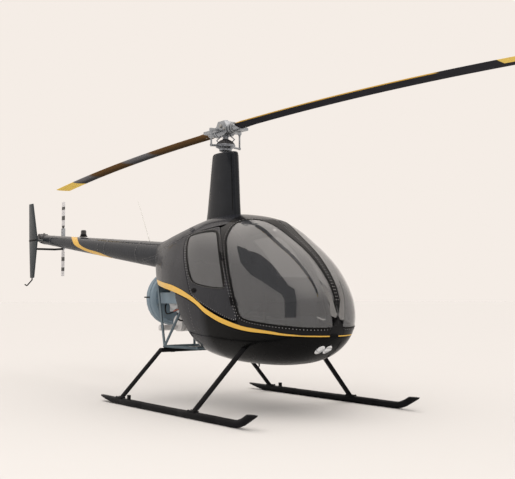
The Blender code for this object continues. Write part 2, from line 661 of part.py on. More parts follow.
def build_tail():
    """Cone, gearbox, stabiliser, fins, guard, strobe and antenna."""
    (front_x, front_z, front_r), (rear_x, rear_z, rear_r) = CONE_FRONT, CONE_REAR
    length = math.hypot(rear_x - front_x, rear_z - front_z)
    lean = math.atan2(rear_z - front_z, front_x - rear_x)
    profile = ((0.0, length), (rear_r, length), (front_r, 0.0), (front_r - CONE_WALL, 0.0),
               (rear_r - CONE_WALL, length - 0.02), (0.0, length - 0.02))
    turned_object("tail_cone", profile, "gloss_black_paint", (front_x, 0.0, front_z),
                  (0.0, -math.pi / 2 + lean, 0.0), steps=28)

    gear_x, gear_y, gear_z = TAIL_ROTOR
    aft = cone_axis()
    cone_end = Vector((rear_x, 0.0, rear_z)) + aft * GAP
    gearbox = [rod_mesh(cone_end, cone_end + aft * 0.150, 0.060, 0.052, sides=16),
               rod_mesh((gear_x, -0.070, gear_z), (gear_x, 0.120, gear_z), 0.058, 0.040, sides=16),
               rod_mesh((gear_x, 0.110, gear_z), (gear_x, gear_y - 0.040 - GAP, gear_z), 0.026, sides=14),
               box_mesh((gear_x - 0.085, -0.050, gear_z - 0.030), (gear_x + 0.03, 0.05, gear_z + 0.055))]
    joined("tail_gearbox", gearbox, "dark_casting")

    span = sorted((FIN_Y + FIN_THICK / 2 + GAP, -0.0703))
    stab = ((-4.190, 1.810), (-4.220, 1.828), (-4.320, 1.830), (-4.480, 1.814), (-4.480, 1.809),
            (-4.320, 1.796), (-4.220, 1.794))
    add_object("horizontal_stabiliser", outline_mesh(stab, *span), "gloss_black_paint")

    upper = ((-4.205, 1.812), (-4.465, 1.812), (-4.492, 2.333), (-4.372, 2.333))
    lower = ((-4.205, 1.8117), (-4.465, 1.8117), (-4.415, 1.290), (-4.305, 1.290))
    for name, outline in (("upper_fin", upper), ("lower_fin", lower)):
        add_object(name, outline_mesh(outline, FIN_Y - FIN_THICK / 2, FIN_Y + FIN_THICK / 2),
                   "gloss_black_paint")
    skid = bend_mesh([(-4.362, FIN_Y, 1.2897), (-4.362, FIN_Y, 1.262), (-4.520, FIN_Y, 1.190),
                      (-4.550, FIN_Y, 1.185), (-4.605, FIN_Y, 1.200)], 0.009)
    add_object("tail_skid", skid, "satin_black_paint")
    guard = bend_mesh([(-3.70, -0.02, 1.669), (-3.90, -0.04, 1.671), (-4.20, -0.095, 1.688),
                       (-4.25, -0.118, 1.690), (-4.25, FIN_Y + FIN_THICK / 2 + GAP, 1.690)], 0.014)
    add_object("tail_rotor_guard", guard, "satin_black_paint")
    strobe_side = ((0.0, 0.090), (0.028, 0.090), (0.038, 0.078), (0.040, 0.022), (0.052, 0.0),
                   (0.0, 0.0))
    strobe_x = -3.12
    seat_z = cone_top(strobe_x) + GAP + 0.0055
    turned_object("strobe", strobe_side, "dark_casting", (strobe_x, 0.0, seat_z), steps=16)
    whip_x = -1.465
    add_object("whip_antenna", rod_mesh((whip_x, 0, cone_top(whip_x) + 0.004),
                                        (-1.733, 0, 2.142), 0.006, 0.003, sides=8), "white_plastic")


def cone_axis():
    """Unit vector aft along the tail cone."""
    (front_x, front_z, _), (rear_x, rear_z, _) = CONE_FRONT, CONE_REAR
    return Vector((rear_x - front_x, 0.0, rear_z - front_z)).normalized()


def cone_top(x):
    """Height of the top of the tail cone at x."""
    (front_x, front_z, front_r), (rear_x, rear_z, rear_r) = CONE_FRONT, CONE_REAR
    share = (x - front_x) / (rear_x - front_x)
    return front_z + share * (rear_z - front_z) + front_r + share * (rear_r - front_r)


def build_tail_rotor():
    """Hub and two blades, standing upright."""
    x, y, z = TAIL_ROTOR
    hub = [rod_mesh((x, y - 0.040, z), (x, y + 0.030, z), 0.030, sides=14),
           box_mesh((x - 0.030, y - 0.018, z - 0.150), (x + 0.030, y + 0.018, z + 0.150))]
    joined("tail_rotor_hub", hub, "silver_metal", TAIL_ROTOR)
    for label, end in (("upper", 1), ("lower", -1)):
        rings = []
        for reach, width, thick in ((0.1503, 0.62, 0.016), (0.200, 1.0, 0.012), (TAIL_R, 1.0, 0.009)):
            rings.append([(x + dx, y + dy, z + end * reach)
                          for dx, dy in blade_section(TAIL_CHORD * width, thick, 0.45, end)])
        add_object(f"tail_blade_{label}", loft_mesh(rings), "tail_blade_paint", TAIL_ROTOR)


def build_engine_bay():
    """Steel frame, engine, fan scroll and exhaust."""
    corner_low, corner_high = Vector((-0.394, 0.455, LOW_TUBE_Z)), Vector((-0.845, 0.262, 1.165))
    foot_front, mid_front = Vector((0.105, 0.400, LOW_TUBE_Z)), Vector((-0.072, 0.455, 0.930))
    top_front, bulkhead = Vector((-0.168, 0.330, 1.250)), Vector((-0.880, 0.100, 1.400))
    runs = []
    for side in (-1, 1):
        low, high, front, mid, top, aft = (
            Vector((p.x, side * p.y, p.z)) for p in
            (corner_low, corner_high, foot_front, mid_front, top_front, bulkhead))
        runs += [(low, high), (low, mid), (low, front), (high, top), (high, aft)]
    for point in (corner_low, corner_high, foot_front):
        runs.append((Vector((point.x, -point.y, point.z)), point))
    for y in (-0.10, 0.10):
        runs.append((Vector((-0.394, y, LOW_TUBE_Z)), Vector((-0.394, y, CRANK_Z - 0.14 - GAP))))
    tubes = []
    for index, (start, end) in enumerate(runs):
        along = (end - start).normalized() * TUBE_RADIUS * 0.6
        upright = abs(end.x - start.x) < 0.001 and abs(end.y - start.y) < 0.001
        reach = Vector((0.0, 0.0, 0.0)) if upright else along
        radius = TUBE_RADIUS - 0.0002 * (index % 5)
        tubes.append(rod_mesh(start - reach, end + reach, radius, sides=7))
    plate_x, plate_z, plate_r = CONE_FRONT
    face = Vector((plate_x, 0.0, plate_z))
    ahead = -cone_axis()
    tubes.append(rod_mesh(face + ahead * GAP, face + ahead * 0.014, plate_r - 0.002, sides=20))
    joined("frame_tubes", tubes, "primer_grey_steel", solver="MANIFOLD")

    engine = [box_mesh((-0.800, -0.140, CRANK_Z - 0.14), (-0.200, 0.140, CRANK_Z + 0.13))]
    for x, reach in zip(CYLINDER_X, CYLINDER_END):
        barrel_z = CRANK_Z - 0.01
        engine.append(rod_mesh((x, -reach, barrel_z), (x, reach, barrel_z), CYLINDER_RADIUS, sides=12))
        for side in (-1, 1):
            for y in (0.160, 0.180, 0.200, 0.220, 0.240, 0.260):
                engine.append(rod_mesh((x, side * y, barrel_z), (x, side * (y + 0.010), barrel_z),
                                       FIN_DISC, sides=12))
            engine.append(rod_mesh((x + 0.05, side * 0.10, CRANK_Z - 0.12),
                                   (x + 0.03, side * (reach - 0.03), barrel_z - 0.05), 0.018, sides=8))
    engine.append(rod_mesh((-0.79, 0, CRANK_Z), (SCROLL_X[0] + GAP, 0, CRANK_Z), 0.035, sides=12))
    joined("engine", engine, "silver_metal")

    front_x, rear_x = SCROLL_X
    profile = ((0.0, 0.0), (SCROLL_RADIUS - 0.03, 0.0), (SCROLL_RADIUS, -0.03),
               (SCROLL_RADIUS, rear_x - front_x + 0.03), (SCROLL_RADIUS - 0.03, rear_x - front_x),
               (0.170, rear_x - front_x), (0.160, rear_x - front_x + 0.02), (0.160, -0.05), (0.0, -0.05))
    scroll = turned_object("fan_scroll", profile, "blue_grey_shell", (front_x, 0.0, CRANK_Z),
                           (0.0, math.pi / 2, 0.0), steps=28)
    for side in (-1, 1):
        hood = []
        for z in (CRANK_Z - 0.055, CRANK_Z + 0.060):
            hood.append([(x, side * y, z) for x, y in ((front_x - 0.02, 0.220), (-0.225, 0.400),
                                                      (-0.225, 0.386), (front_x - 0.02, 0.206))])
        combine(scroll, add_object(f"cylinder_hood_{side}", loft_mesh(hood)), "UNION")

    x, z, radius = MUFFLER
    pipes = [rod_mesh((x, -0.170, z), (x, 0.170, z), radius, sides=18),
             bend_mesh([(x, -0.10, z - 0.03), (x - 0.05, -0.20, z - 0.044),
                        (x - 0.07, -0.24, z - 0.046), (x - 0.08, -0.34, z - 0.046)], 0.030)]
    port_x = CYLINDER_X[1]
    for y in (-1, 1):
        pipes.append(bend_mesh([(port_x, y * 0.205, CRANK_Z - 0.1135), (port_x, y * 0.205, 0.872),
                                (port_x - 0.01, y * 0.190, 0.850), (x, y * 0.11, z)], 0.021))
    joined("exhaust", pipes, "exhaust_steel")


def strut_mesh(foot, top):
    """A streamlined leg between two points, long section fore and aft."""
    rings = []
    for point in (foot, top):
        ring = []
        for k in range(12):
            angle = math.tau * k / 12
            ring.append((point[0] + 0.034 * math.cos(angle), point[1],
                         point[2] + 0.024 * math.sin(angle)))
        rings.append(ring)
    return loft_mesh(rings)


def build_gear():
    """Two skids, four legs and the rear cross tube."""
    outside = skin_solid(-GAP)
    for label, side in SIDES:
        y = side * TREAD_HALF
        line = [(-0.790, y, SKID_RADIUS), (1.40, y, SKID_RADIUS), (1.455, y, 0.037),
                (1.520, y, 0.060), (1.660, y, 0.137)]
        skid = add_object(f"skid_{label}", bend_mesh(line, SKID_RADIUS, 3), "satin_black_paint")
        ends = (((-0.90, -0.05), (-0.52, -0.05), (-0.52, -0.001), (-0.785, 0.055), (-0.90, 0.055)),
                ((1.50, 0.122), (1.75, 0.122), (1.75, 0.25), (1.50, 0.25)))
        for index, outline in enumerate(ends):
            cut = outline_mesh(outline, y - 0.1, y + 0.1)
            combine(skid, add_object(f"skid_end_{label}_{index}", cut), "DIFFERENCE")
        stud = box_mesh((STUD_X - 0.016, y - 0.012, SKID_RADIUS), (STUD_X + 0.016, y + 0.012, STUD_Z))
        combine(skid, add_object(f"skid_stud_{label}", stud), "UNION")
        for index, x in enumerate((STRUT_FRONT_X[0], STRUT_REAR_X[0])):
            saddle = box_mesh((x - 0.055, y - 0.024, 0.040), (x + 0.055, y + 0.024, SADDLE_Z))
            combine(skid, add_object(f"saddle_{label}_{index}", saddle), "UNION")
        for place, (foot_x, top_x) in (("front", STRUT_FRONT_X), ("rear", STRUT_REAR_X)):
            foot = Vector((foot_x, y, 0.050))
            top = Vector((top_x, side * (CROSS_Y - 0.10), CROSS_Z + 0.103))
            leg = add_object(f"strut_{place}_{label}", strut_mesh(foot, top), "satin_black_paint")
            base = box_mesh((foot_x - 0.3, y - 0.3, -0.1), (foot_x + 0.3, y + 0.3, SADDLE_Z + GAP))
            combine(leg, add_object(f"strut_base_{place}_{label}", base), "DIFFERENCE")
            if place == "front":
                combine(leg, add_object(f"belly_seat_{label}", outside.copy()), "DIFFERENCE")
            else:
                trim = box_mesh((top_x - 0.3, -CROSS_Y - GAP, 0.3), (top_x + 0.3, CROSS_Y + GAP, 0.9))
                combine(leg, add_object(f"cross_seat_{label}", trim), "DIFFERENCE")
    ends = [(STRUT_REAR_X[1], y, CROSS_Z) for y in (-CROSS_Y, CROSS_Y)]
    add_object("rear_cross_tube", rod_mesh(*ends, CROSS_RADIUS, sides=14), "satin_black_paint")


def build_mast_fairing():
    """Streamlined fairing from the roof up to the swashplate."""
    rings = []
    for z, nose, tail, half in ((1.74, 0.245, -0.320, 0.082), (1.90, 0.222, -0.285, 0.081),
                                (2.30, 0.195, -0.220, 0.079), (2.44, 0.184, -0.196, 0.078),
                                (2.465, 0.165, -0.175, 0.066)):
        ring = []
        for k in range(20):
            angle = math.tau * k / 20
            c, s = math.cos(angle), math.sin(angle)
            reach = nose if c > 0 else -tail
            ring.append((reach * math.copysign(abs(c) ** 0.9, c), half * s, z))
        rings.append(ring)
    fairing = add_object("mast_fairing", loft_mesh(rings), "gloss_black_paint")
    combine(fairing, add_object("roof_seat", skin_solid(-GAP)), "DIFFERENCE")
    bore = rod_mesh((0, 0, MAST_BOTTOM - GAP), (0, 0, 2.60), MAST_RADIUS + SPIN_GAP, sides=24)
    combine(fairing, add_object("mast_bore", bore), "DIFFERENCE")


def build_lamps():
    """Two landing lamps in the nose, in one carrier."""
    lamps = []
    tub = bpy.data.objects["nose_belly_shell"]
    for index, y in enumerate(LAMP_Y):
        lamps.append(rod_mesh((1.405, y, LAMP_Z), (1.60, y, LAMP_Z), LAMP_RADIUS, sides=18))
        hole = rod_mesh((1.30, y, LAMP_Z), (1.70, y, LAMP_Z), LAMP_RADIUS + GAP, sides=18)
        combine(tub, add_object(f"lamp_hole_{index}", hole), "DIFFERENCE")
    lamps.append(box_mesh((1.410, LAMP_Y[0], LAMP_Z - 0.012), (1.425, LAMP_Y[1], LAMP_Z + 0.012)))
    holder = joined("landing_lamps", lamps, "lamp_glass")
    combine(holder, add_object("lamp_front", skin_solid(-0.003)), "INTERSECT")


build_cabin()
build_main_rotor()
build_tail()
build_tail_rotor()
build_engine_bay()
build_gear()
build_mast_fairing()
build_lamps()
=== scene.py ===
"""Looks of a light two-seat helicopter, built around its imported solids.

Shapes are drawn in the mast frame, whose X and Y are zero on the main rotor
mast, and are moved MAST along X when they are placed. Metres, +Z up, nose +X,
port side +Y.
"""
from __future__ import annotations

import json
import logging
from collections.abc import Callable, Iterable, Sequence
from dataclasses import dataclass, field
from enum import Enum
from math import ceil, copysign, cos, pi, radians, sin, sqrt, tau

import bmesh
import bpy
import numpy as np
from bpy.types import Material, Mesh, Node, NodeSocket, Object, World
from mathutils import Matrix, Vector

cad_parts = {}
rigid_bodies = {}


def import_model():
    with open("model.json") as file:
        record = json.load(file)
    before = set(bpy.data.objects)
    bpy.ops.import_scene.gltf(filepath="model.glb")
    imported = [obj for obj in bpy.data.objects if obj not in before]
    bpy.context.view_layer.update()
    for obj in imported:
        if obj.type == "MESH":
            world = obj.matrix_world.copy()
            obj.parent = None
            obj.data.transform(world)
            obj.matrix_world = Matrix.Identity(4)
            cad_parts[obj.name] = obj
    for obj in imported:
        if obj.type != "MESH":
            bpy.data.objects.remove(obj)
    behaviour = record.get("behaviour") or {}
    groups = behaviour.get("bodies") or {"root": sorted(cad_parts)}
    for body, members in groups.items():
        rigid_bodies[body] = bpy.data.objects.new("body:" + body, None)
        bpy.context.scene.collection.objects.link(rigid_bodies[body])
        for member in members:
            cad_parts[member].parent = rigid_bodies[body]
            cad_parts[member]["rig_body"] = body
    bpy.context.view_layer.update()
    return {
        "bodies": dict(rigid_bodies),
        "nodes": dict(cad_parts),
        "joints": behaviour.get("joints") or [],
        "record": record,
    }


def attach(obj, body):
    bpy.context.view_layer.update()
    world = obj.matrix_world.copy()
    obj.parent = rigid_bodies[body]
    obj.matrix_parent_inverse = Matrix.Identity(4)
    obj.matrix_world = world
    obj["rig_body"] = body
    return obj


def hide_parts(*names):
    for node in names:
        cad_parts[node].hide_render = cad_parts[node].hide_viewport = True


LOG = logging.getLogger("helicopter")
MAST = Vector((0.405, 0.0, 0.0))
Point = Sequence[float]
Line = tuple[np.ndarray, np.ndarray]    # points and outward directions


class Side(Enum):
    """The two sides of the machine."""

    RIGHT = -1
    LEFT = 1

    @property
    def label(self) -> str:
        """Name of the side in node names."""
        return self.name.lower()


# Shader writing


class Wire:
    """A shader socket in an expression whose operators add Math nodes."""

    def __init__(self, recipe: "Recipe", socket: NodeSocket) -> None:
        """Wrap a socket.

        Args:
            recipe: The material that is being written.
            socket: An output socket that carries a number.
        """
        self.recipe = recipe
        self.socket = socket

    def math(self, operation: str, *others: "Wire | float", first: bool = True) -> "Wire":
        """Add one Math node.

        Args:
            operation: Name of the operation.
            others: The other operands.
            first: Whether this wire is the first operand.

        Returns:
            The node's result.
        """
        operands = [self, *others] if first else [*others, self]
        node = self.recipe.node("Math", {"operation": operation}, dict(enumerate(operands)))
        return Wire(self.recipe, node.outputs[0])

    def __add__(self, other: "Wire | float") -> "Wire":
        """Sum."""
        return self.math("ADD", other)

    __radd__ = __add__

    def __mul__(self, other: "Wire | float") -> "Wire":
        """Product."""
        return self.math("MULTIPLY", other)

    __rmul__ = __mul__

    def __sub__(self, other: "Wire | float") -> "Wire":
        """Difference."""
        return self.math("SUBTRACT", other)

    def __rsub__(self, other: float) -> "Wire":
        """Difference with a number in front."""
        return self.math("SUBTRACT", other, first=False)

    def __truediv__(self, other: "Wire | float") -> "Wire":
        """Quotient."""
        return self.math("DIVIDE", other)

    def __rtruediv__(self, other: float) -> "Wire":
        """Quotient with a number in front."""
        return self.math("DIVIDE", other, first=False)

    def step(self, edge: "Wire | float", soft: float = 0.0008) -> "Wire":
        """Zero below an edge and one above it, with a soft rise between."""
        return self.recipe.clamped((self - edge) / soft + 0.5)


class Recipe:
    """The nodes of one material, or of the world, while they are written."""

    def __init__(self, owner: Material | World, out: str = "OutputMaterial") -> None:
        """Clear the nodes.

        Args:
            owner: The material or the world.
            out: Type of its output node.
        """
        self.owner = owner
        owner.use_nodes = True
        self.tree = owner.node_tree
        self.tree.nodes.clear()
        self.out = self.node(out)

    def node(self, kind: str, settings: dict | None = None, inputs: dict | None = None) -> Node:
        """Add a node.

        Args:
            kind: Type of the node, without ShaderNode in front.
            settings: Its settings; curve fills a float curve.
            inputs: Values or wires for its sockets, by name or number.

        Returns:
            The new node.
        """
        made = self.tree.nodes.new(f"ShaderNode{kind}")
        for key, value in (settings or {}).items():
            if key == "curve":
                line = made.mapping.curves[0]
                for spot, place in zip(line.points, (value[0], value[-1])):
                    spot.location = place
                for place in value[1:-1]:
                    line.points.new(*place)
                made.mapping.update()
            else:
                setattr(made, key, value)
        for key, value in (inputs or {}).items():
            self.feed(made.inputs[key], value)
        return made

    def feed(self, socket: NodeSocket, value: object) -> None:
        """Set a socket from a wire, a socket, a number, a colour or a vector.

        Args:
            socket: An input socket.
            value: What it gets.
        """
        if isinstance(value, Wire):
            self.tree.links.new(value.socket, socket)
        elif isinstance(value, NodeSocket):
            self.tree.links.new(value, socket)
        elif socket.type == "RGBA" and len(value) == 3:
            socket.default_value = (*value, 1.0)
        else:
            socket.default_value = value

    def clamped(self, value: Wire) -> Wire:
        """A wire held between zero and one."""
        node = self.node("Clamp", None, {"Value": value})
        return Wire(self, node.outputs[0])

    def place(self) -> NodeSocket:
        """Object coordinates in the mast frame."""
        where = self.node("TexCoord")
        shift = self.node("Mapping", None, {"Vector": where.outputs["Object"], "Location": tuple(-MAST)})
        return shift.outputs[0]

    def axes(self) -> tuple[Wire, Wire, Wire]:
        """Object coordinates in the mast frame, as three numbers."""
        split = self.node("SeparateXYZ", None, {"Vector": self.place()})
        return tuple(Wire(self, split.outputs[i]) for i in range(3))

    def noise(self, scale: float, detail: float = 3.0, stretch: Point = (1.0, 1.0, 1.0)) -> Wire:
        """Noise between zero and one on Object coordinates.

        Args:
            scale: Grains per metre.
            detail: Octaves.
            stretch: Factor on each axis.

        Returns:
            The noise value.
        """
        where = self.node("TexCoord")
        shaped = self.node("Mapping", None, {"Vector": where.outputs["Object"], "Scale": stretch})
        grain = self.node("TexNoise", None, {"Vector": shaped.outputs[0], "Scale": scale, "Detail": detail})
        return Wire(self, grain.outputs[0])

    def curve(self, value: Wire, points: Sequence[Point]) -> Wire:
        """A smooth curve through points, read at a wire.

        Args:
            value: Where it is read.
            points: Rows of place and value, the places rising.

        Returns:
            The value of the curve.
        """
        xs, ys = [p[0] for p in points], [p[1] for p in points]
        low, high = min(ys) - 0.01, max(ys) + 0.01
        rows = [((x - xs[0]) / (xs[-1] - xs[0]), (y - low) / (high - low)) for x, y in points]
        share = (value - xs[0]) / (xs[-1] - xs[0])
        node = self.node("FloatCurve", {"curve": rows}, {"Value": self.clamped(share)})
        return Wire(self, node.outputs[0]) * (high - low) + low

    def mix(self, factor: Wire | float, low: object, high: object) -> NodeSocket:
        """A colour between two colours.

        Args:
            factor: Zero for the first colour and one for the second.
            low: The first colour.
            high: The second colour.

        Returns:
            The mixed colour.
        """
        node = self.node("Mix", {"data_type": "RGBA"})
        self.feed(node.inputs[0], factor)
        self.feed(node.inputs[6], low)
        self.feed(node.inputs[7], high)
        return node.outputs[2]

    def bump(self, height: Wire, strength: float, distance: float) -> NodeSocket:
        """A normal bent by a height."""
        node = self.node("Bump", None, {"Height": height, "Strength": strength, "Distance": distance})
        return node.outputs[0]

    def surface(self, **inputs: object) -> Material:
        """Close the material with a Principled shader.

        Args:
            inputs: Socket values, their names with underscores for spaces.

        Returns:
            The finished material.
        """
        shader = self.node("BsdfPrincipled", None,
                           {key.replace("_", " "): value for key, value in inputs.items()})
        self.tree.links.new(shader.outputs[0], self.out.inputs[0])
        return self.owner


# Finishes

GOLD = (0.70, 0.43, 0.085)
TIP_YELLOW = (0.80, 0.58, 0.15)
STRIPE_TOP = ((-0.85, 1.214), (-0.46, 1.172), (-0.134, 1.131), (0.211, 1.037), (0.496, 0.907),
              (0.771, 0.819), (1.006, 0.768), (1.249, 0.740), (1.340, 0.722), (1.479, 0.708),
              (1.62, 0.699))
STRIPE_LOW = ((-0.85, 1.160), (-0.46, 1.118), (-0.131, 1.073), (0.211, 0.992), (0.493, 0.862),
              (0.763, 0.776), (0.997, 0.733), (1.242, 0.714), (1.336, 0.704), (1.475, 0.696),
              (1.62, 0.689))
SWOOSH_REAR = ((0.0, -3.473), (67.0, -3.266), (97.0, -3.184), (122.0, -3.019), (147.0, -2.792),
               (180.0, -2.52))
SWOOSH_FRONT = ((0.0, -3.289), (62.0, -3.106), (91.0, -3.013), (113.0, -2.828), (127.0, -2.489),
                (157.0, -2.262), (180.0, -2.15))


@dataclass(frozen=True)
class Finish:
    """A plain painted, cast or moulded finish with grain, specks and wear.

    Attributes:
        name: Name of the material.
        colour: Base colour.
        rough: Roughness.
        metal: Metallic share.
        grain: Grains per metre of the fine texture.
        relief: Height of the fine texture in metres.
        vary: How far the colour and roughness wander.
        coat: Weight of a clear coat.
        shine: Specular level.
        coat_index: Index of refraction of the clear coat.
    """

    name: str
    colour: Point
    rough: float = 0.5
    metal: float = 0.0
    grain: float = 400.0
    relief: float = 0.0002
    vary: float = 0.15
    coat: float = 0.0
    shine: float = 0.5
    coat_index: float = 1.38

    def made(self) -> Material:
        """The material, written on first use."""
        known = bpy.data.materials.get(self.name)
        return known or self.write(Recipe(bpy.data.materials.new(self.name)))

    def write(self, recipe: Recipe) -> Material:
        """Write the nodes."""
        return self.close(recipe, self.base(recipe))

    def base(self, recipe: Recipe) -> NodeSocket:
        """The base colour with slow changes, specks of dust and fine wear.

        Args:
            recipe: The material that is being written.

        Returns:
            The colour.
        """
        dark = tuple(c * (1.0 - self.vary) for c in self.colour)
        light = tuple(min(c * (1.0 + self.vary) + 0.002, 1.0) for c in self.colour)
        wander = recipe.mix(recipe.noise(7.0, 5.0), dark, light)
        specks = recipe.noise(320.0, 2.0).step(0.72, 0.05) * (self.vary * 0.5)
        dusty = tuple(min(c * 0.7 + 0.05, 1.0) for c in self.colour)
        return recipe.mix(specks, wander, dusty)

    def close(self, recipe: Recipe, colour: NodeSocket, coat: "Wire | float | None" = None) -> Material:
        """Finish the material around a colour.

        Args:
            recipe: The material that is being written.
            colour: Its base colour.
            coat: Its weight of clear coat where that varies.

        Returns:
            The material.
        """
        smears = recipe.noise(26.0, 4.0, (1.0, 1.0, 0.3))
        rough = smears * (self.rough * self.vary * 2) + self.rough * (1.0 - self.vary)
        fine = recipe.noise(self.grain, 2.0) + recipe.noise(self.grain / 12.0, 2.0) * 0.6
        return recipe.surface(Base_Color=colour, Roughness=rough, Metallic=self.metal,
                              Normal=recipe.bump(fine, 0.5, self.relief),
                              Coat_Weight=self.coat if coat is None else coat,
                              Coat_Roughness=0.03, Coat_IOR=self.coat_index,
                              Specular_IOR_Level=self.shine)


@dataclass(frozen=True)
class StripedPaint(Finish):
    """Gloss black paint with the gold stripe from nose to cowl, less polished on the belly, with painted
    shade: the nose and belly painted near black, and a painted shadow along the stripe's edges.
    """

    def write(self, recipe: Recipe) -> Material:
        """Write the nodes."""
        x, _, z = recipe.axes()
        low, top = recipe.curve(x, STRIPE_LOW), recipe.curve(x, STRIPE_TOP)
        band = z.step(low) * (1.0 - z.step(top))
        # Painted shadow: a dark band just below and just above the stripe, also less polished.
        stripe_edge_shadow = z.step(low - 0.012) * (1.0 - z.step(top + 0.006)) * (1.0 - band)
        # Painted shade: the nose and belly below the stripe, ahead of the door, painted near black and less
        # polished.
        nose = x.step(0.42, 0.14) * (1.0 - z.step(top + 0.03, 0.02))
        painted = recipe.mix(nose.math("MAXIMUM", stripe_edge_shadow), self.base(recipe), (0.0030, 0.0032, 0.0034))
        painted = recipe.mix(band, painted, GOLD)
        shade = (1.0 - x.step(-0.10, 0.25)) * 0.45 + z.step(1.50, 0.20) * 0.50
        polish = (1.0 - nose * 0.70) * (1.0 - stripe_edge_shadow) * (1.0 - shade)
        return self.close(recipe, painted, polish * self.coat)


@dataclass(frozen=True)
class ConePaint(Finish):
    """Gloss black paint with the gold swoosh that winds round the tail cone."""

    def write(self, recipe: Recipe) -> Material:
        """Write the nodes."""
        x, y, z = recipe.axes()
        rise = z - (1.458 - (x + 0.9) * 0.1089)
        angle = y.math("ABSOLUTE").math("ARCTAN2", rise) * (180.0 / pi)
        behind = x.step(recipe.curve(angle, SWOOSH_REAR), 0.003)
        ahead = 1.0 - x.step(recipe.curve(angle, SWOOSH_FRONT), 0.003)
        polish = recipe.clamped(rise * 6.0 + 0.62)
        return self.close(recipe, recipe.mix(behind * ahead, self.base(recipe), GOLD), polish * self.coat)


@dataclass(frozen=True)
class BladePaint(Finish):
    """Dark blade paint with its yellow tip and the trim along the edge that faces starboard; the rear blade's
    brown and slate bands carry painted shade, lighter towards the starboard edge.
    """

    def write(self, recipe: Recipe) -> Material:
        """Write the nodes."""
        x, y, _ = recipe.axes()
        reach = x.math("ABSOLUTE")
        ahead = x.step(0.0)
        tip = (reach - ahead * y.step(-0.045) * 0.20).step(3.33, 0.004)
        thin = ahead * (1.0 - y.step(-0.118)) * (1.0 - reach.step(2.8, 0.05))
        grey = reach.step(1.42, 0.1) * (1.0 - reach.step(2.02, 0.1)) + reach.step(2.86, 0.1)
        # Painted shade across the chord: lighter towards the starboard edge, darker towards the port edge.
        across = recipe.clamped((y + 0.05) * 9.0)
        streaks = recipe.noise(60.0, 4.0, (0.05, 1.0, 1.0)) * 0.4
        # Each band colour comes as a lit and a shaded copy, blended by the painted shade above.
        brown = recipe.mix(across, (0.165, 0.090, 0.036), (0.068, 0.040, 0.018))
        slate = recipe.mix(across, (0.220, 0.220, 0.235), (0.055, 0.056, 0.060))
        colour = recipe.mix(thin, self.base(recipe), GOLD)
        rear = recipe.mix(grey, brown, slate)
        rear = recipe.mix(streaks, rear, (0.035, 0.032, 0.030))
        colour = recipe.mix(ahead, rear, colour)
        return self.close(recipe, recipe.mix(tip, colour, TIP_YELLOW))


@dataclass(frozen=True)
class TailBladePaint(Finish):
    """White tail rotor blades with black bands and a grey erosion strip."""

    def write(self, recipe: Recipe) -> Material:
        """Write the nodes."""
        _, _, z = recipe.axes()
        reach = z - 1.855
        rows = ((0.042, 0.191), (0.270, 0.330), (0.418, 0.462), (-0.317, -0.260), (-0.460, -0.410))
        black = sum((reach.step(low, 0.002) * (1.0 - reach.step(high, 0.002)) for low, high in rows),
                    reach * 0.0)
        return self.close(recipe, recipe.mix(black, self.base(recipe), (0.012, 0.012, 0.012)))


@dataclass(frozen=True)
class MastMetal(Finish):
    """Steel mast with a black rubber boot over the swashplate, its pleats painted on as bands of painted
    light and shade.
    """

    def write(self, recipe: Recipe) -> Material:
        """Write the nodes."""
        _, _, z = recipe.axes()
        boot = z.step(2.5505) * (1.0 - z.step(2.606))
        # Painted light and shade: lighter and darker bands round the smooth boot stand for its pleats.
        pleat_light_and_shade = ((z * 1400.0).math("SINE") * 0.5 + 0.5) * 0.3
        rubber = recipe.mix(pleat_light_and_shade, (0.012, 0.012, 0.014), (0.04, 0.04, 0.045))
        colour = recipe.mix(boot, self.base(recipe), rubber)
        fine = recipe.noise(self.grain, 2.0)
        return recipe.surface(Base_Color=colour, Roughness=boot * 0.25 + self.rough,
                              Metallic=(1.0 - boot) * self.metal, Normal=recipe.bump(fine, 0.5, self.relief))


@dataclass(frozen=True)
class TintedGlass(Finish):
    """Grey acrylic that shows what is behind it, with faint wiping marks.

    Attributes:
        clear: Share of light that passes one of its faces.
    """

    clear: float = 0.6

    def write(self, recipe: Recipe) -> Material:
        """Write the nodes."""
        haze = recipe.noise(14.0, 5.0, (1.0, 1.0, 0.35))
        colour = recipe.mix(haze, tuple(c * 0.8 for c in self.colour), tuple(c * 1.2 for c in self.colour))
        veil = haze * 0.04 + (1.0 - self.clear - 0.02)
        return recipe.surface(Base_Color=colour, Roughness=haze * 0.02 + self.rough, Alpha=veil,
                              Coat_Weight=self.coat, Coat_Roughness=0.02, Coat_IOR=self.coat_index)


@dataclass(frozen=True)
class LensGlass(Finish):
    """A fluted lamp lens."""

    def write(self, recipe: Recipe) -> Material:
        """Write the nodes."""
        _, y, _ = recipe.axes()
        flutes = (y * 900.0).math("SINE")
        return recipe.surface(Base_Color=self.base(recipe), Roughness=self.rough, Coat_Weight=1.0,
                              Normal=recipe.bump(flutes, 0.5, 0.0006))


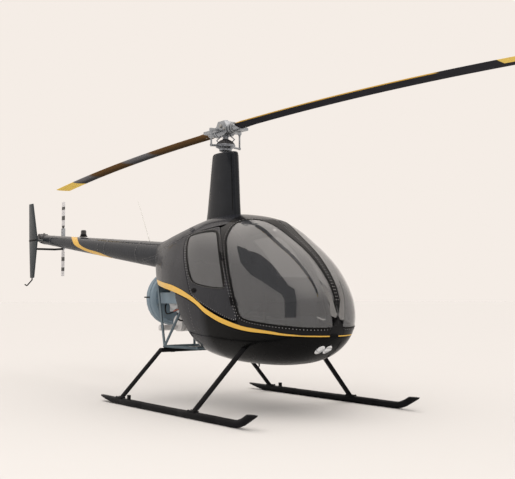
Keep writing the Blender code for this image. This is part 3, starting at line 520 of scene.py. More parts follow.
# name, colour, roughness, metal, grains per metre, relief, variation, coat, shine
BODY_PAINT = StripedPaint("gloss_black_striped", (0.0180, 0.0195, 0.0245), 0.26, 0.0, 90.0, 0.00012, 0.2,
                          0.45, 0.04)
PLAIN_PAINT = Finish("gloss_black", (0.0150, 0.0168, 0.0205), 0.26, 0.0, 90.0, 0.00012, 0.2, 0.28, 0.04)
FIN_PAINT = Finish("fin_slate", (0.034, 0.041, 0.046), 0.32, 0.0, 90.0, 0.00012, 0.15, 0.25, 0.05)
CONE_PAINT = ConePaint("gloss_black_swoosh", (0.0200, 0.0230, 0.0290), 0.28, 0.0, 90.0, 0.00012, 0.2, 0.45,
                       0.05)
TRIM_BLACK = Finish("trim_black", (0.0045, 0.0045, 0.0052), 0.35, 0.0, 500.0, 0.0002, 0.3, 0.08, 0.05)
FRAME_PAINT = Finish("gloss_black_frame", (0.0065, 0.0066, 0.0076), 0.26, 0.0, 90.0, 0.00012, 0.2, 0.22, 0.05)
SATIN_BLACK = Finish("satin_black_coat", (0.0055, 0.0055, 0.0066), 0.45, 0.0, 500.0, 0.0003, 0.3, 0.0, 0.05)
RUBBER = Finish("black_seal", (0.005, 0.005, 0.005), 0.65, 0.0, 300.0, 0.0003, shine=0.1)
RIVET = Finish("bright_rivet", (0.34, 0.34, 0.35), 0.35, 0.3, 900.0, 0.0001, 0.2, 0.3, 0.3)
BOLT = Finish("plated_bolt", (0.36, 0.36, 0.35), 0.35, 0.9, 900.0, 0.0001, 0.2)
GLASS = TintedGlass("grey_acrylic", (0.060, 0.064, 0.071), 0.03, coat=1.0, clear=0.46, coat_index=1.72)
TUBE_STEEL = Finish("blue_grey_tube_paint", (0.095, 0.130, 0.155), 0.42, 0.1, 250.0, 0.0003, shine=0.3)
SCROLL_SHELL = Finish("blue_grey_shell_paint", (0.165, 0.225, 0.275), 0.45, 0.0, 120.0, 0.0008, 0.25,
                      shine=0.3)
SILVER = Finish("machined_aluminium", (0.31, 0.33, 0.355), 0.36, 0.85, 350.0, 0.0004, 0.35)
PALE_CAST = Finish("pale_cast_aluminium", (0.52, 0.54, 0.56), 0.5, 0.4, 300.0, 0.0006, 0.3)
CASTING = Finish("dark_casting", (0.038, 0.044, 0.052), 0.50, 0.3, 260.0, 0.0006, 0.3, shine=0.3)
MAST_METAL = MastMetal("mast_metal", (0.28, 0.30, 0.33), 0.40, 0.85, 300.0, 0.0004, 0.3)
BLADE_SKIN = BladePaint("dark_blade_skin", (0.028, 0.028, 0.033), 0.45, 0.0, 150.0, 0.0002, 0.25, 0.0, 0.0)
TAIL_BLADE = TailBladePaint("tail_blade_white", (0.60, 0.60, 0.62), 0.35, 0.0, 150.0, 0.0002)
LEATHER = Finish("black_leather", (0.014, 0.0135, 0.013), 0.48, 0.0, 230.0, 0.0010, 0.3, shine=0.35)
THREAD = Finish("seat_thread", (0.10, 0.095, 0.085), 0.7, 0.0, 900.0, 0.0002)
WEBBING = Finish("belt_webbing", (0.026, 0.026, 0.028), 0.75, 0.0, 700.0, 0.0012, 0.3)
LINING = Finish("cabin_lining", (0.016, 0.0165, 0.018), 0.65, 0.0, 500.0, 0.0006, 0.2, shine=0.2)
DIAL = Finish("dial_face", (0.006, 0.006, 0.006), 0.15, 0.0, 600.0, 0.0001, 0.2, 1.0)
LAMP = LensGlass("lamp_lens", (0.80, 0.82, 0.84), 0.12, 0.0, 90.0, 0.0004)
EXHAUST = Finish("heat_tinted_steel", (0.60, 0.60, 0.60), 0.42, 0.45, 160.0, 0.0006, 0.25)
WHITE_ROD = Finish("white_rod", (0.70, 0.70, 0.68), 0.35, 0.0, 200.0, 0.0002)
RED_HOSE = Finish("fire_sleeve", (0.28, 0.07, 0.045), 0.6, 0.0, 500.0, 0.0008, 0.2)


# Mesh helpers


def filled(build: Callable[[bmesh.types.BMesh], None]) -> Mesh:
    """A mesh filled by a function, its faces pointing outwards.

    Args:
        build: Gets an empty bmesh to fill.

    Returns:
        The new mesh.
    """
    work = bmesh.new()
    build(work)
    bmesh.ops.recalc_face_normals(work, faces=work.faces)
    mesh = bpy.data.meshes.new("shape")
    work.to_mesh(mesh)
    work.free()
    return mesh


def shaded(mesh: Mesh, angle: float = 40.0) -> Mesh:
    """A mesh shaded smooth, apart from edges sharper than an angle in degrees.

    Args:
        mesh: The mesh, which is changed.
        angle: The angle.

    Returns:
        The same mesh.
    """
    mesh.shade_smooth()
    mesh.set_sharp_from_angle(angle=radians(angle))
    return mesh


def read(items: bpy.types.bpy_prop_collection, name: str, kind: type = float) -> np.ndarray:
    """One property of all the items of a mesh: rows of three for floats, one number each for ints.

    Args:
        items: Its vertices, loops or faces.
        name: Name of the property.
        kind: Type of its numbers.

    Returns:
        The values.
    """
    width = 3 if kind is float else 1
    flat = np.empty(len(items) * width, kind)
    items.foreach_get(name, flat)
    return flat.reshape(-1, 3) if kind is float else flat


def spline(rows: np.ndarray, steps: int) -> np.ndarray:
    """Rows of a smooth curve through rows, the first and the last of which only steer its ends.

    Args:
        rows: The rows.
        steps: Rows of the curve for each stretch.

    Returns:
        The curve.
    """
    out = []
    for a, b, c, d in zip(rows, rows[1:], rows[2:], rows[3:]):
        for t in np.arange(steps) / steps:
            out.append(0.5 * (2 * b + (c - a) * t + (2 * a - 5 * b + 4 * c - d) * t * t
                              + (3 * b - a - 3 * c + d) * t ** 3))
    return np.array([*out, rows[-2]])


def curve_through(points: Sequence[Point], steps: int = 8) -> np.ndarray:
    """Points of a smooth curve through a few points."""
    return spline(np.array([points[0], *points, points[-1]], float), steps)


def loft(rings: Sequence[Sequence[Point]], closed: bool = False) -> Mesh:
    """A skin through rings of equal counts; one-point rings make tips.

    Args:
        rings: The rings in order.
        closed: Whether the last ring joins the first one instead of end caps.

    Returns:
        The closed skin.
    """
    def build(work: bmesh.types.BMesh) -> None:
        """Fill the bmesh."""
        rows = [[work.verts.new(point) for point in ring] for ring in rings]
        following = rows[1:] + ([rows[0]] if closed else [])
        for near, far in zip(rows, following):
            count = max(len(near), len(far))
            for i in range(count):
                j = (i + 1) % count
                corners = [near[i % len(near)], near[j % len(near)], far[j % len(far)], far[i % len(far)]]
                work.faces.new(list(dict.fromkeys(corners)))
        for row in () if closed else (rows[0], rows[-1]):
            if len(row) > 2:
                work.faces.new(row)
    return filled(build)


def drawn_out(outline: Sequence[Point], low: float, high: float) -> Mesh:
    """A side-view outline, x and z, drawn out along y."""
    return loft([[(x, y, z) for x, z in outline] for y in (low, high)])


def evaluated(obj: Object) -> Mesh:
    """The mesh of an object with its modifiers applied."""
    graph = bpy.context.evaluated_depsgraph_get()
    return bpy.data.meshes.new_from_object(obj.evaluated_get(graph))


def block(middle: Point, size: Point) -> Mesh:
    """A box."""
    mesh = filled(lambda work: bmesh.ops.create_cube(work, size=1.0))
    mesh.transform(Matrix.Translation(middle) @ Matrix.Diagonal((*size, 1.0)))
    return mesh


def linked(name: str, data: bpy.types.ID) -> Object:
    """A new object in the scene."""
    obj = bpy.data.objects.new(name, data)
    bpy.context.scene.collection.objects.link(obj)
    return obj


def carved(mesh: Mesh, steps: Iterable[tuple[str, Mesh]]) -> Mesh:
    """A mesh after a row of boolean steps, each an operation and its cutter.

    Args:
        mesh: The mesh to start from.
        steps: The steps in order.

    Returns:
        A new mesh.
    """
    base = linked("base", mesh)
    tools = []
    for operation, cutter in steps:
        tools.append(linked("tool", cutter))
        step = base.modifiers.new("step", "BOOLEAN")
        step.operation = operation
        step.object = tools[-1]
        step.solver = "MANIFOLD"
    result = evaluated(base)
    for obj in [base, *tools]:
        bpy.data.objects.remove(obj, do_unlink=True)
    return result


def softened(mesh: Mesh, width: float, segments: int = 2, angle: float = 35.0) -> Mesh:
    """A mesh with its doubles merged, its edges rounded and smooth shading.

    Args:
        mesh: The mesh to start from.
        width: Width of the rounding; zero leaves the edges.
        segments: Faces across the rounding.
        angle: Edges flatter than this stay as they are, in degrees.

    Returns:
        A new mesh.
    """
    work = bmesh.new()
    work.from_mesh(mesh)
    bmesh.ops.remove_doubles(work, verts=work.verts, dist=1e-5)
    bmesh.ops.dissolve_limit(work, angle_limit=radians(1.0), verts=work.verts, edges=work.edges)
    clean = bpy.data.meshes.new("clean")
    work.to_mesh(clean)
    work.free()
    obj = linked("clean", clean)
    if width > 0:
        bevel = obj.modifiers.new("round", "BEVEL")
        bevel.width = width
        bevel.segments = segments
        bevel.limit_method = "ANGLE"
        bevel.angle_limit = radians(angle)
        bevel.use_clamp_overlap = True
    result = evaluated(obj)
    bpy.data.objects.remove(obj, do_unlink=True)
    return shaded(result, angle)


def merged(meshes: Sequence[Mesh]) -> Mesh:
    """Several meshes as one, without joining their surfaces.

    Args:
        meshes: The meshes.

    Returns:
        A new mesh.
    """
    work = bmesh.new()
    for mesh in meshes:
        work.from_mesh(mesh)
    result = bpy.data.meshes.new("group")
    work.to_mesh(result)
    work.free()
    return result


def tube(points: Sequence[Point], radius: float | Sequence[float], sides: int = 16) -> Mesh:
    """A round tube along points, its rings upright across its run.

    Args:
        points: The centre line.
        radius: One radius or one for each point.
        sides: Faces round the tube.

    Returns:
        A closed smooth mesh.
    """
    spots = [Vector(p) for p in points]
    radii = [radius] * len(spots) if isinstance(radius, (int, float)) else list(radius)
    rings = []
    across = None
    for i, spot in enumerate(spots):
        along = (spots[min(i + 1, len(spots) - 1)] - spots[max(i - 1, 0)]).normalized()
        guide = across or (Vector((0, 1, 0)) if abs(along.y) < 0.9 else Vector((1, 0, 0)))
        across = (guide - along * guide.dot(along)).normalized()
        up = across.cross(along)
        rings.append([spot + radii[i] * (cos(t) * across + sin(t) * up)
                      for t in (tau * k / sides for k in range(sides))])
    return shaded(loft(rings))


def turned(profile: Sequence[Point], frame: Matrix | None = None, steps: int = 64) -> Mesh:
    """A closed turned mesh.

    Args:
        profile: Rows of radius and height, from pole to pole.
        frame: Where its axis, its own Z, lies; the mast's axis where none is given.
        steps: Faces round it.

    Returns:
        A closed smooth mesh.
    """
    rings = []
    for radius, height in profile:
        if radius < 1e-6:
            rings.append([(0.0, 0.0, height)])
        else:
            rings.append([(radius * cos(t), radius * sin(t), height)
                          for t in (tau * k / steps for k in range(steps))])
    mesh = loft(rings)
    if frame is not None:
        mesh.transform(frame)
    return shaded(mesh, 35.0)


def facing(origin: Point, direction: Point) -> Matrix:
    """A frame at a point whose Z runs along a direction."""
    turn = Vector(direction).to_track_quat("Z", "Y").to_matrix().to_4x4()
    return Matrix.Translation(Vector(origin)) @ turn


def placed(name: str, mesh: Mesh, finish: Finish, body: str = "airframe",
           replaces: Sequence[str] = (), slot: str | None = None) -> Object:
    """A finished piece of the helicopter.

    Args:
        name: Its name.
        mesh: Its mesh in the mast frame.
        finish: What it is made of.
        body: The body it rides on.
        replaces: The solids it stands for.
        slot: The record's material slot it is painted from; not used.

    Returns:
        The new object, its place in its mesh.
    """
    mesh.transform(Matrix.Translation(MAST))
    mesh.materials.clear()
    mesh.materials.append(finish.made())
    obj = linked(name, mesh)
    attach(obj, body)
    if replaces:
        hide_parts(*replaces)
    LOG.info("%s: %d faces on %s", name, len(mesh.polygons), body)
    return obj


# The fuselage skin

SECTIONS = (
    # x, lowest z, highest z, half width, z of the greatest width, roundness above, below
    (1.618, 0.870, 0.870, 0.000, 0.870, 2.0, 2.0),
    (1.590, 0.705, 1.040, 0.185, 0.865, 2.0, 2.0),
    (1.500, 0.575, 1.200, 0.320, 0.860, 2.1, 2.1),
    (1.320, 0.475, 1.390, 0.435, 0.870, 2.2, 2.2),
    (1.080, 0.425, 1.560, 0.510, 0.890, 2.3, 2.3),
    (0.780, 0.410, 1.735, 0.550, 0.920, 2.3, 2.4),
    (0.430, 0.420, 1.812, 0.560, 0.960, 2.3, 2.5),
    (0.100, 0.470, 1.830, 0.550, 1.020, 2.3, 2.5),
    (-0.200, 0.600, 1.797, 0.505, 1.080, 2.2, 2.4),
    (-0.500, 0.800, 1.742, 0.425, 1.160, 2.2, 2.4),
    (-0.780, 0.980, 1.692, 0.318, 1.250, 2.2, 2.3),
    (-0.920, 1.110, 1.664, 0.248, 1.360, 2.1, 2.2),
    (-1.020, 1.230, 1.648, 0.190, 1.445, 2.1, 2.1),
)
WIDE = 0.8               # half width of the panel cutters
HIGH = 2.2               # above the roof
AHEAD = 1.75             # ahead of the nose
BEHIND = -1.30           # behind the cowl
SILL_LINE = ((AHEAD, 0.700), (1.48, 0.706), (1.25, 0.738), (1.00, 0.768), (0.77, 0.819),
             (0.50, 0.905), (0.21, 1.000), (-0.10, 1.065), (-0.40, 1.110), (-0.76, 1.155),
             (-0.80, 1.200), (BEHIND, 1.420))
ROOF_LINE = ((BEHIND, 1.425), (-0.89, 1.470), (-0.75, 1.505), (-0.49, 1.565), (-0.26, 1.606),
             (-0.10, 1.636), (0.07, 1.655), (0.22, 1.673), (0.35, 1.692))
ROOF_CORNER_Z = 1.706
ROOF_FRONT_X = 0.45
FIREWALL_LINE = ((0.205, 0.30), (0.120, 0.60), (-0.100, 1.03), (-0.170, 1.45), (-0.190, 1.90))
DOOR_OUTLINE = ((-0.10, 1.633, 0.000), (0.07, 1.650, 0.000), (0.22, 1.668, 0.000),
                (0.36, 1.686, 0.000), (0.42, 1.672, 0.000), (0.60, 1.450, 0.000),
                (0.755, 1.193, 0.000), (0.852, 0.981, 0.000), (0.915, 0.850, 0.004),
                (0.895, 0.805, 0.011), (0.77, 0.834, 0.011), (0.50, 0.920, 0.005),
                (0.27, 1.012, 0.001), (0.205, 1.060, 0.003), (0.11, 1.242, 0.004),
                (0.035, 1.358, 0.005), (-0.045, 1.478, 0.006), (-0.115, 1.585, 0.006))
DOOR_WINDOW = ((-0.035, 1.622), (0.20, 1.640), (0.365, 1.640), (0.435, 1.600), (0.560, 1.445),
               (0.655, 1.280), (0.725, 1.120), (0.715, 1.100), (0.43, 1.124), (0.27, 1.154),
               (0.205, 1.200), (0.085, 1.385), (-0.015, 1.540), (-0.045, 1.595))
WINDSHIELD = ((0.945, 0.531, 0.850), (0.885, 0.540, 0.999), (0.803, 0.529, 1.192),
              (0.695, 0.486, 1.401), (0.595, 0.423, 1.550), (0.575, 0.370, 1.620),
              (0.560, 0.310, 1.690), (0.590, 0.240, 1.730), (0.680, 0.170, 1.735),
              (0.830, 0.115, 1.705), (0.950, 0.085, 1.640), (1.130, 0.062, 1.525),
              (1.330, 0.048, 1.380), (1.474, 0.038, 1.230), (1.561, 0.030, 1.105),
              (1.604, 0.024, 0.980), (1.604, 0.024, 0.776), (1.560, 0.215, 0.768),
              (1.455, 0.344, 0.775), (1.263, 0.453, 0.794), (1.051, 0.513, 0.820))
POST_FOOT = ((0.935, 0.779), (0.860, 0.860))
UNDER_DOOR = ((0.77, 0.880), (0.50, 0.960), (0.27, 1.045))
COWL_TOE = (0.222, 1.050)
COWL_HEAD = ((-0.03, 1.600), (-0.085, 1.633))
DOOR_INSET = 0.003       # from the door's outline to its edge, and to the edge of its opening
WINDSHIELD_REACH = 1.2   # of its cutters out of the skin
NOSE_TRIM_X = 1.604      # foremost point of the windshield's trim
NOSE_STEADY_X = 1.58     # ahead of here the skin's normals are too unsteady to use
HINGE_TOP = (0.655, -0.530, 1.40)
HINGE_LOW = (0.862, -0.572, 1.00)
LAMP_X = 1.40            # inside the nose, behind the lamps' glass
LAMP_Y = (-0.095, -0.018)
LAMP_Z = 0.578
LAMP_RADIUS = 0.036
SEAM = 0.0012            # half of the shadow gap between panels


@dataclass
class Skin:
    """The smooth fuselage surface and the cutters that lie on it.

    Attributes:
        steps: Rows between two sections.
        ring: Points round a row.
        rows: The smooth rows, each like a row of SECTIONS.
    """

    steps: int = 14
    ring: int = 120
    rows: np.ndarray = field(init=False)

    def __post_init__(self) -> None:
        """Run smooth rows through the sections, round at the nose tip."""
        table = np.array(SECTIONS)
        ghost = table[1] * (1.0, 1.0, 1.0, -1.0, 1.0, 1.0, 1.0)
        ghost[[1, 2]] = ghost[[2, 1]]
        self.rows = spline(np.vstack([ghost, table, table[-1]]), self.steps)

    def at(self, x: np.ndarray | float) -> list[np.ndarray]:
        """Lowest z, highest z, half width, widest z and both roundnesses at x."""
        order = self.rows[::-1]
        return [np.interp(x, order[:, 0], order[:, k]) for k in range(1, 7)]

    def side_y(self, x: float, z: float) -> float:
        """Distance of the skin from the middle plane at x and z.

        Args:
            x: Place along the machine.
            z: Height.

        Returns:
            The distance.
        """
        low, high, half, wide, up, down = self.at(x)
        reach, power = (high - wide, up) if z >= wide else (wide - low, down)
        share = min(abs(z - wide) / reach, 1.0)
        return float(half * (1.0 - share ** power) ** (1.0 / power))

    def value(self, points: np.ndarray) -> np.ndarray:
        """Below zero inside the skin, above it outside.

        Args:
            points: Points in rows.

        Returns:
            One number for each point.
        """
        low, high, half, wide, up, down = self.at(points[:, 0])
        above = points[:, 2] >= wide
        reach = np.maximum(np.where(above, high - wide, wide - low), 1e-3)
        power = np.where(above, up, down)
        side = np.abs(points[:, 1]) / np.maximum(half, 1e-3)
        return side ** power + (np.abs(points[:, 2] - wide) / reach) ** power - 1.0

    def slope(self, points: np.ndarray, step: float) -> np.ndarray:
        """How fast the value rises along each axis, measured over a step to both sides."""
        rises = [self.value(points + shift) - self.value(points - shift) for shift in np.eye(3) * step]
        return np.column_stack(rises) / (2.0 * step)

    def normals(self, points: np.ndarray, step: float = 0.006) -> np.ndarray:
        """Outward unit directions of the skin near points."""
        slope = self.slope(points, step)
        return slope / np.maximum(np.linalg.norm(slope, axis=1, keepdims=True), 1e-9)

    def snapped(self, points: np.ndarray) -> np.ndarray:
        """Points moved onto the skin.

        Args:
            points: Points near it, in rows.

        Returns:
            The moved points.
        """
        spots = points.copy()
        for _ in range(8):
            slope = self.slope(spots, 0.002)
            gain = self.value(spots) / np.maximum((slope ** 2).sum(axis=1), 1e-6)
            spots -= np.clip(gain, -0.02, 0.02)[:, None] * slope
        return spots

    def solid(self, depth: float) -> Mesh:
        """The fuselage as a solid, its surface a depth inside the skin.

        Args:
            depth: How far inside.

        Returns:
            A closed mesh.
        """
        rings = []
        for x, low, high, half, wide, up, down in self.rows:
            inset = depth * min(1.0, half / 0.30)
            place = x - depth * max(x, 0.0) / SECTIONS[0][0]
            if x == self.rows[-1][0] and depth > 0:
                place = x - 0.01
            if half <= 1e-6:
                rings.append([(place, 0.0, wide)])
                continue
            angles = tau * (np.arange(self.ring) + 0.5) / self.ring
            c, s = np.cos(angles), np.sin(angles)
            power = np.where(s >= 0, up, down)
            reach = np.where(s >= 0, high - inset - wide, wide - low - inset)
            y = (half - inset) * np.sign(c) * np.abs(c) ** (2 / power)
            z = wide + reach * np.sign(s) * np.abs(s) ** (2 / power)
            rings.append(np.column_stack([np.full(self.ring, place), y, z]).tolist())
        return loft(rings)

    def plug(self, outline: np.ndarray, grow: float | np.ndarray, outside: float = 0.35,
             inside: float = 0.10) -> Mesh:
        """A cutter through the wall round an outline.

        Args:
            outline: Points of a loop on the skin.
            grow: Margin round it, one number or one for each point.
            outside: How far the cutter reaches out of the skin.
            inside: How far it reaches in.

        Returns:
            A closed mesh.
        """
        points = [Vector(p) for p in outline]
        normals = [Vector(n) for n in self.normals(outline, 0.01)]
        count = len(points)
        middle = sum(points, Vector()) / count
        moved = []
        for i, (point, normal, margin) in enumerate(zip(points, normals, np.broadcast_to(grow, count))):
            before = (point - points[i - 1]).normalized()
            after = (points[(i + 1) % count] - point).normalized()
            away = (before + after).cross(normal).normalized()
            if away.dot(point - middle) < 0:
                away = -away
            mitre = 1.0 / max(cos(before.angle(after) / 2), 0.5)
            moved.append(point + float(margin) * mitre * away)

        def build(work: bmesh.types.BMesh) -> None:
            """Fill the bmesh."""
            caps = []
            for reach in (outside, -inside):
                ring = [work.verts.new(p + reach * n) for p, n in zip(moved, normals)]
                caps.append(ring)
                heart = work.verts.new(sum((v.co for v in ring), Vector()) / count)
                for i in range(count):
                    work.faces.new((ring[i - 1], ring[i], heart))
            for i in range(count):
                work.faces.new((caps[0][i - 1], caps[0][i], caps[1][i]))
                work.faces.new((caps[0][i - 1], caps[1][i], caps[1][i - 1]))
        return filled(build)

    def dress_normals(self, mesh: Mesh) -> Mesh:
        """Give a cut piece of skin the true normals of the surface, so that its cuts leave no shade.

        Args:
            mesh: The piece, which is changed.

        Returns:
            The same mesh.
        """
        true = self.normals(read(mesh.vertices, "co"))[read(mesh.loops, "vertex_index", int)]
        flat = np.repeat(read(mesh.polygons, "normal"), read(mesh.polygons, "loop_total", int), axis=0)
        lean = np.einsum("ij,ij->i", true, flat)[:, None]
        chosen = np.where(lean > 0.80, true, np.where(lean < -0.80, -true, flat))
        mesh.shade_smooth()
        mesh.normals_split_custom_set(chosen.tolist())
        return mesh

    def piece(self, depth: float, steps: Sequence[tuple[str, Mesh]]) -> Mesh:
        """A piece of the skin, depth thick, after boolean steps."""
        mesh = carved(self.solid(0.0), [("DIFFERENCE", self.solid(depth)), *steps])
        return self.dress_normals(mesh)

    def lined(self, obj: Object, finish: "Finish") -> None:
        """Give the inner faces of a placed panel a finish of their own.

        Args:
            obj: The panel.
            finish: The finish.
        """
        mesh = obj.data
        mesh.materials.append(finish.made())
        out = self.normals(read(mesh.polygons, "center") - np.array(MAST))
        inner = np.einsum("ij,ij->i", out, read(mesh.polygons, "normal")) < -0.5
        mesh.polygons.foreach_set("material_index", inner.astype(np.int32))


# Rows of fasteners


@dataclass(frozen=True)
class Fastener:
    """A rivet, bolt or stitch that Geometry Nodes repeat along lines.

    Attributes:
        name: Name of its node tree.
        radius: Its radius.
        height: How far it stands out.
        spacing: Distance between two of them.
        sides: Faces round it; six make a hexagon head.
        stretch: Its length along the line, as a share of its radius.
    """

    name: str
    radius: float = 0.0030
    height: float = 0.0012
    spacing: float = 0.035
    sides: int = 10
    stretch: float = 1.0

    def tree(self) -> bpy.types.GeometryNodeTree:
        """The node tree, built on first use."""
        known = bpy.data.node_groups.get(self.name)
        if known:
            return known
        tree = bpy.data.node_groups.new(self.name, "GeometryNodeTree")
        kinds = (("Lines", "NodeSocketGeometry"), ("Spacing", "NodeSocketFloat"),
                 ("Size", "NodeSocketVector"), ("Finish", "NodeSocketMaterial"))
        for label, kind in kinds:
            tree.interface.new_socket(label, in_out="INPUT", socket_type=kind)
        tree.interface.new_socket("Row", in_out="OUTPUT", socket_type="NodeSocketGeometry")

        def add(kind: str, settings: dict | None = None, **inputs: object) -> Node:
            """Add a node and feed its sockets."""
            node = tree.nodes.new(kind)
            for key, value in (settings or {}).items():
                setattr(node, key, value)
            for key, value in inputs.items():
                socket = node.inputs[key.replace("_", " ")]
                if isinstance(value, NodeSocket):
                    tree.links.new(value, socket)
                else:
                    socket.default_value = value
            return node

        given = add("NodeGroupInput").outputs
        line = add("GeometryNodeMeshToCurve", Mesh=given["Lines"])
        points = add("GeometryNodeResampleCurve", {"mode": "LENGTH"}, Curve=line.outputs[0],
                     Length=given["Spacing"])
        lean = add("GeometryNodeInputNamedAttribute", {"data_type": "FLOAT_VECTOR"}, Name="lean")
        along = add("GeometryNodeInputTangent")
        first = add("FunctionNodeAlignRotationToVector", {"axis": "Z"}, Vector=lean.outputs[0])
        turn = add("FunctionNodeAlignRotationToVector", {"axis": "X", "pivot_axis": "Z"},
                   Rotation=first.outputs[0], Vector=along.outputs[0])
        if self.sides == 6:
            shape = add("GeometryNodeMeshCylinder", Vertices=6, Radius=1.0, Depth=2.0).outputs[0]
        else:
            shape = add("GeometryNodeMeshUVSphere", Segments=self.sides, Rings=6, Radius=1.0).outputs[0]
        copies = add("GeometryNodeInstanceOnPoints", Points=points.outputs[0], Instance=shape,
                     Rotation=turn.outputs[0], Scale=given["Size"])
        real = add("GeometryNodeRealizeInstances", Geometry=copies.outputs[0])
        dressed = add("GeometryNodeSetMaterial", Geometry=real.outputs[0], Material=given["Finish"])
        end = tree.nodes.new("NodeGroupOutput")
        tree.links.new(dressed.outputs[0], end.inputs[0])
        return tree

    def along(self, lines: Sequence[Line], finish: Finish) -> Mesh:
        """Repeat it along lines.

        Args:
            lines: The lines.
            finish: What it is made of.

        Returns:
            One plain mesh.
        """
        mesh = bpy.data.meshes.new("lines")
        points = np.vstack([p for p, _ in lines])
        edges, start = [], 0
        for p, _ in lines:
            edges += [(start + i, start + i + 1) for i in range(len(p) - 1)]
            start += len(p)
        mesh.from_pydata(points.tolist(), edges, [])
        lean = mesh.attributes.new("lean", "FLOAT_VECTOR", "POINT")
        lean.data.foreach_set("vector", np.vstack([n for _, n in lines]).astype(np.float32).ravel())
        obj = linked("row", mesh)
        step = obj.modifiers.new("row", "NODES")
        step.node_group = self.tree()
        size = (self.radius * self.stretch, self.radius, self.height)
        values = {"Spacing": self.spacing, "Size": size, "Finish": finish.made()}
        for item in step.node_group.interface.items_tree:
            if item.in_out == "INPUT" and item.name in values:
                step[item.identifier] = values[item.name]
        row = evaluated(obj)
        bpy.data.objects.remove(obj, do_unlink=True)
        return shaded(row)


POP_RIVET = Fastener("pop_rivets", 0.0038, 0.0014, 0.030)
FINE_RIVET = Fastener("fine_rivets", 0.0026, 0.0010, 0.030, 8)
HEX_BOLT = Fastener("hex_bolts", 0.0065, 0.0050, 0.040, 6)
STITCH = Fastener("stitches", 0.0010, 0.0009, 0.0075, 8, 2.4)


def ring_line(centre: Point, axis: Point, radius: float, outward: bool = False) -> Line:
    """A circle as a line for fasteners.

    Args:
        centre: Its middle.
        axis: Direction of its axis.
        radius: Its radius.
        outward: Whether the fasteners point away from the middle, not along the axis.

    Returns:
        Points and directions.
    """
    frame = np.array(facing(centre, axis))
    angles = np.linspace(0.0, tau, 49)
    rays = np.outer(np.cos(angles), frame[:3, 0]) + np.outer(np.sin(angles), frame[:3, 1])
    return frame[:3, 3] + radius * rays, rays if outward else np.tile(frame[:3, 2], (49, 1))


def oval(middle: Point, half_y: float, half_z: float) -> np.ndarray:
    """Points of an upright oval across the run of the machine."""
    angles = tau * np.arange(48) / 48
    return middle + np.column_stack([angles * 0.0, half_y * np.cos(angles), half_z * np.sin(angles)])


def leaning(points: np.ndarray, direction: Point) -> Line:
    """A line whose fasteners all point the same way."""
    return points, np.tile(direction, (len(points), 1))


def corner_cut(rows: Sequence[Point], passes: int = 2, share: float = 0.25) -> np.ndarray:
    """Closed rows of numbers with their corners cut round.

    Args:
        rows: The rows.
        passes: How often they are cut.
        share: Share of a side that each cut takes.

    Returns:
        More rows.
    """
    line = np.array(rows, float)
    for _ in range(passes):
        ahead = np.roll(line, -1, axis=0)
        near, far = line + (ahead - line) * share, line + (ahead - line) * (1.0 - share)
        line = np.stack([near, far], axis=1).reshape(-1, line.shape[1])
    return line


def filled_in(rows: np.ndarray, step: float = 0.025, closed: bool = True) -> np.ndarray:
    """Rows with points added until none is further than a step from the next.

    Args:
        rows: Points, with other numbers after them if need be.
        step: The step.
        closed: Whether the last row joins the first one.

    Returns:
        More rows.
    """
    out = []
    ends = np.roll(rows, -1, axis=0) if closed else rows[1:]
    for here, there in zip(rows, ends):
        parts = max(int(ceil(np.linalg.norm((there - here)[:3]) / step)), 1)
        out += [here + (there - here) * k / parts for k in range(parts)]
    if not closed:
        out.append(rows[-1])
    return np.array(out)


def rail(points: np.ndarray, normals: np.ndarray, width: float | np.ndarray, height: float,
         shift: float | np.ndarray = 0.0, closed: bool = True) -> Mesh:
    """A low strip with rounded edges that follows a line on a surface.

    Args:
        points: The line.
        normals: Outward directions along it.
        width: Width of the strip, one number or one for each point.
        height: Its height above the surface.
        shift: How far it lies to the side of the line, likewise.
        closed: Whether the line is a loop.

    Returns:
        A closed mesh.
    """
    ahead, behind = np.roll(points, -1, axis=0), np.roll(points, 1, axis=0)
    if not closed:
        ahead[-1], behind[0] = points[-1], points[0]
    along = ahead - behind
    along /= np.maximum(np.linalg.norm(along, axis=1, keepdims=True), 1e-9)
    side = np.cross(along, normals)
    widths, shifts = (np.broadcast_to(value, len(points)) for value in (width, shift))
    profile = ((-0.5, -0.0015), (-0.5, height * 0.6), (-0.44, height), (0.44, height),
               (0.5, height * 0.6), (0.5, -0.0015))
    rings = []
    for point, across, up, wide, aside in zip(points, side, normals, widths, shifts):
        middle = point + across * aside
        rings.append([middle + across * wide * a + up * b for a, b in profile])
    return shaded(loft(rings, closed), 50.0)


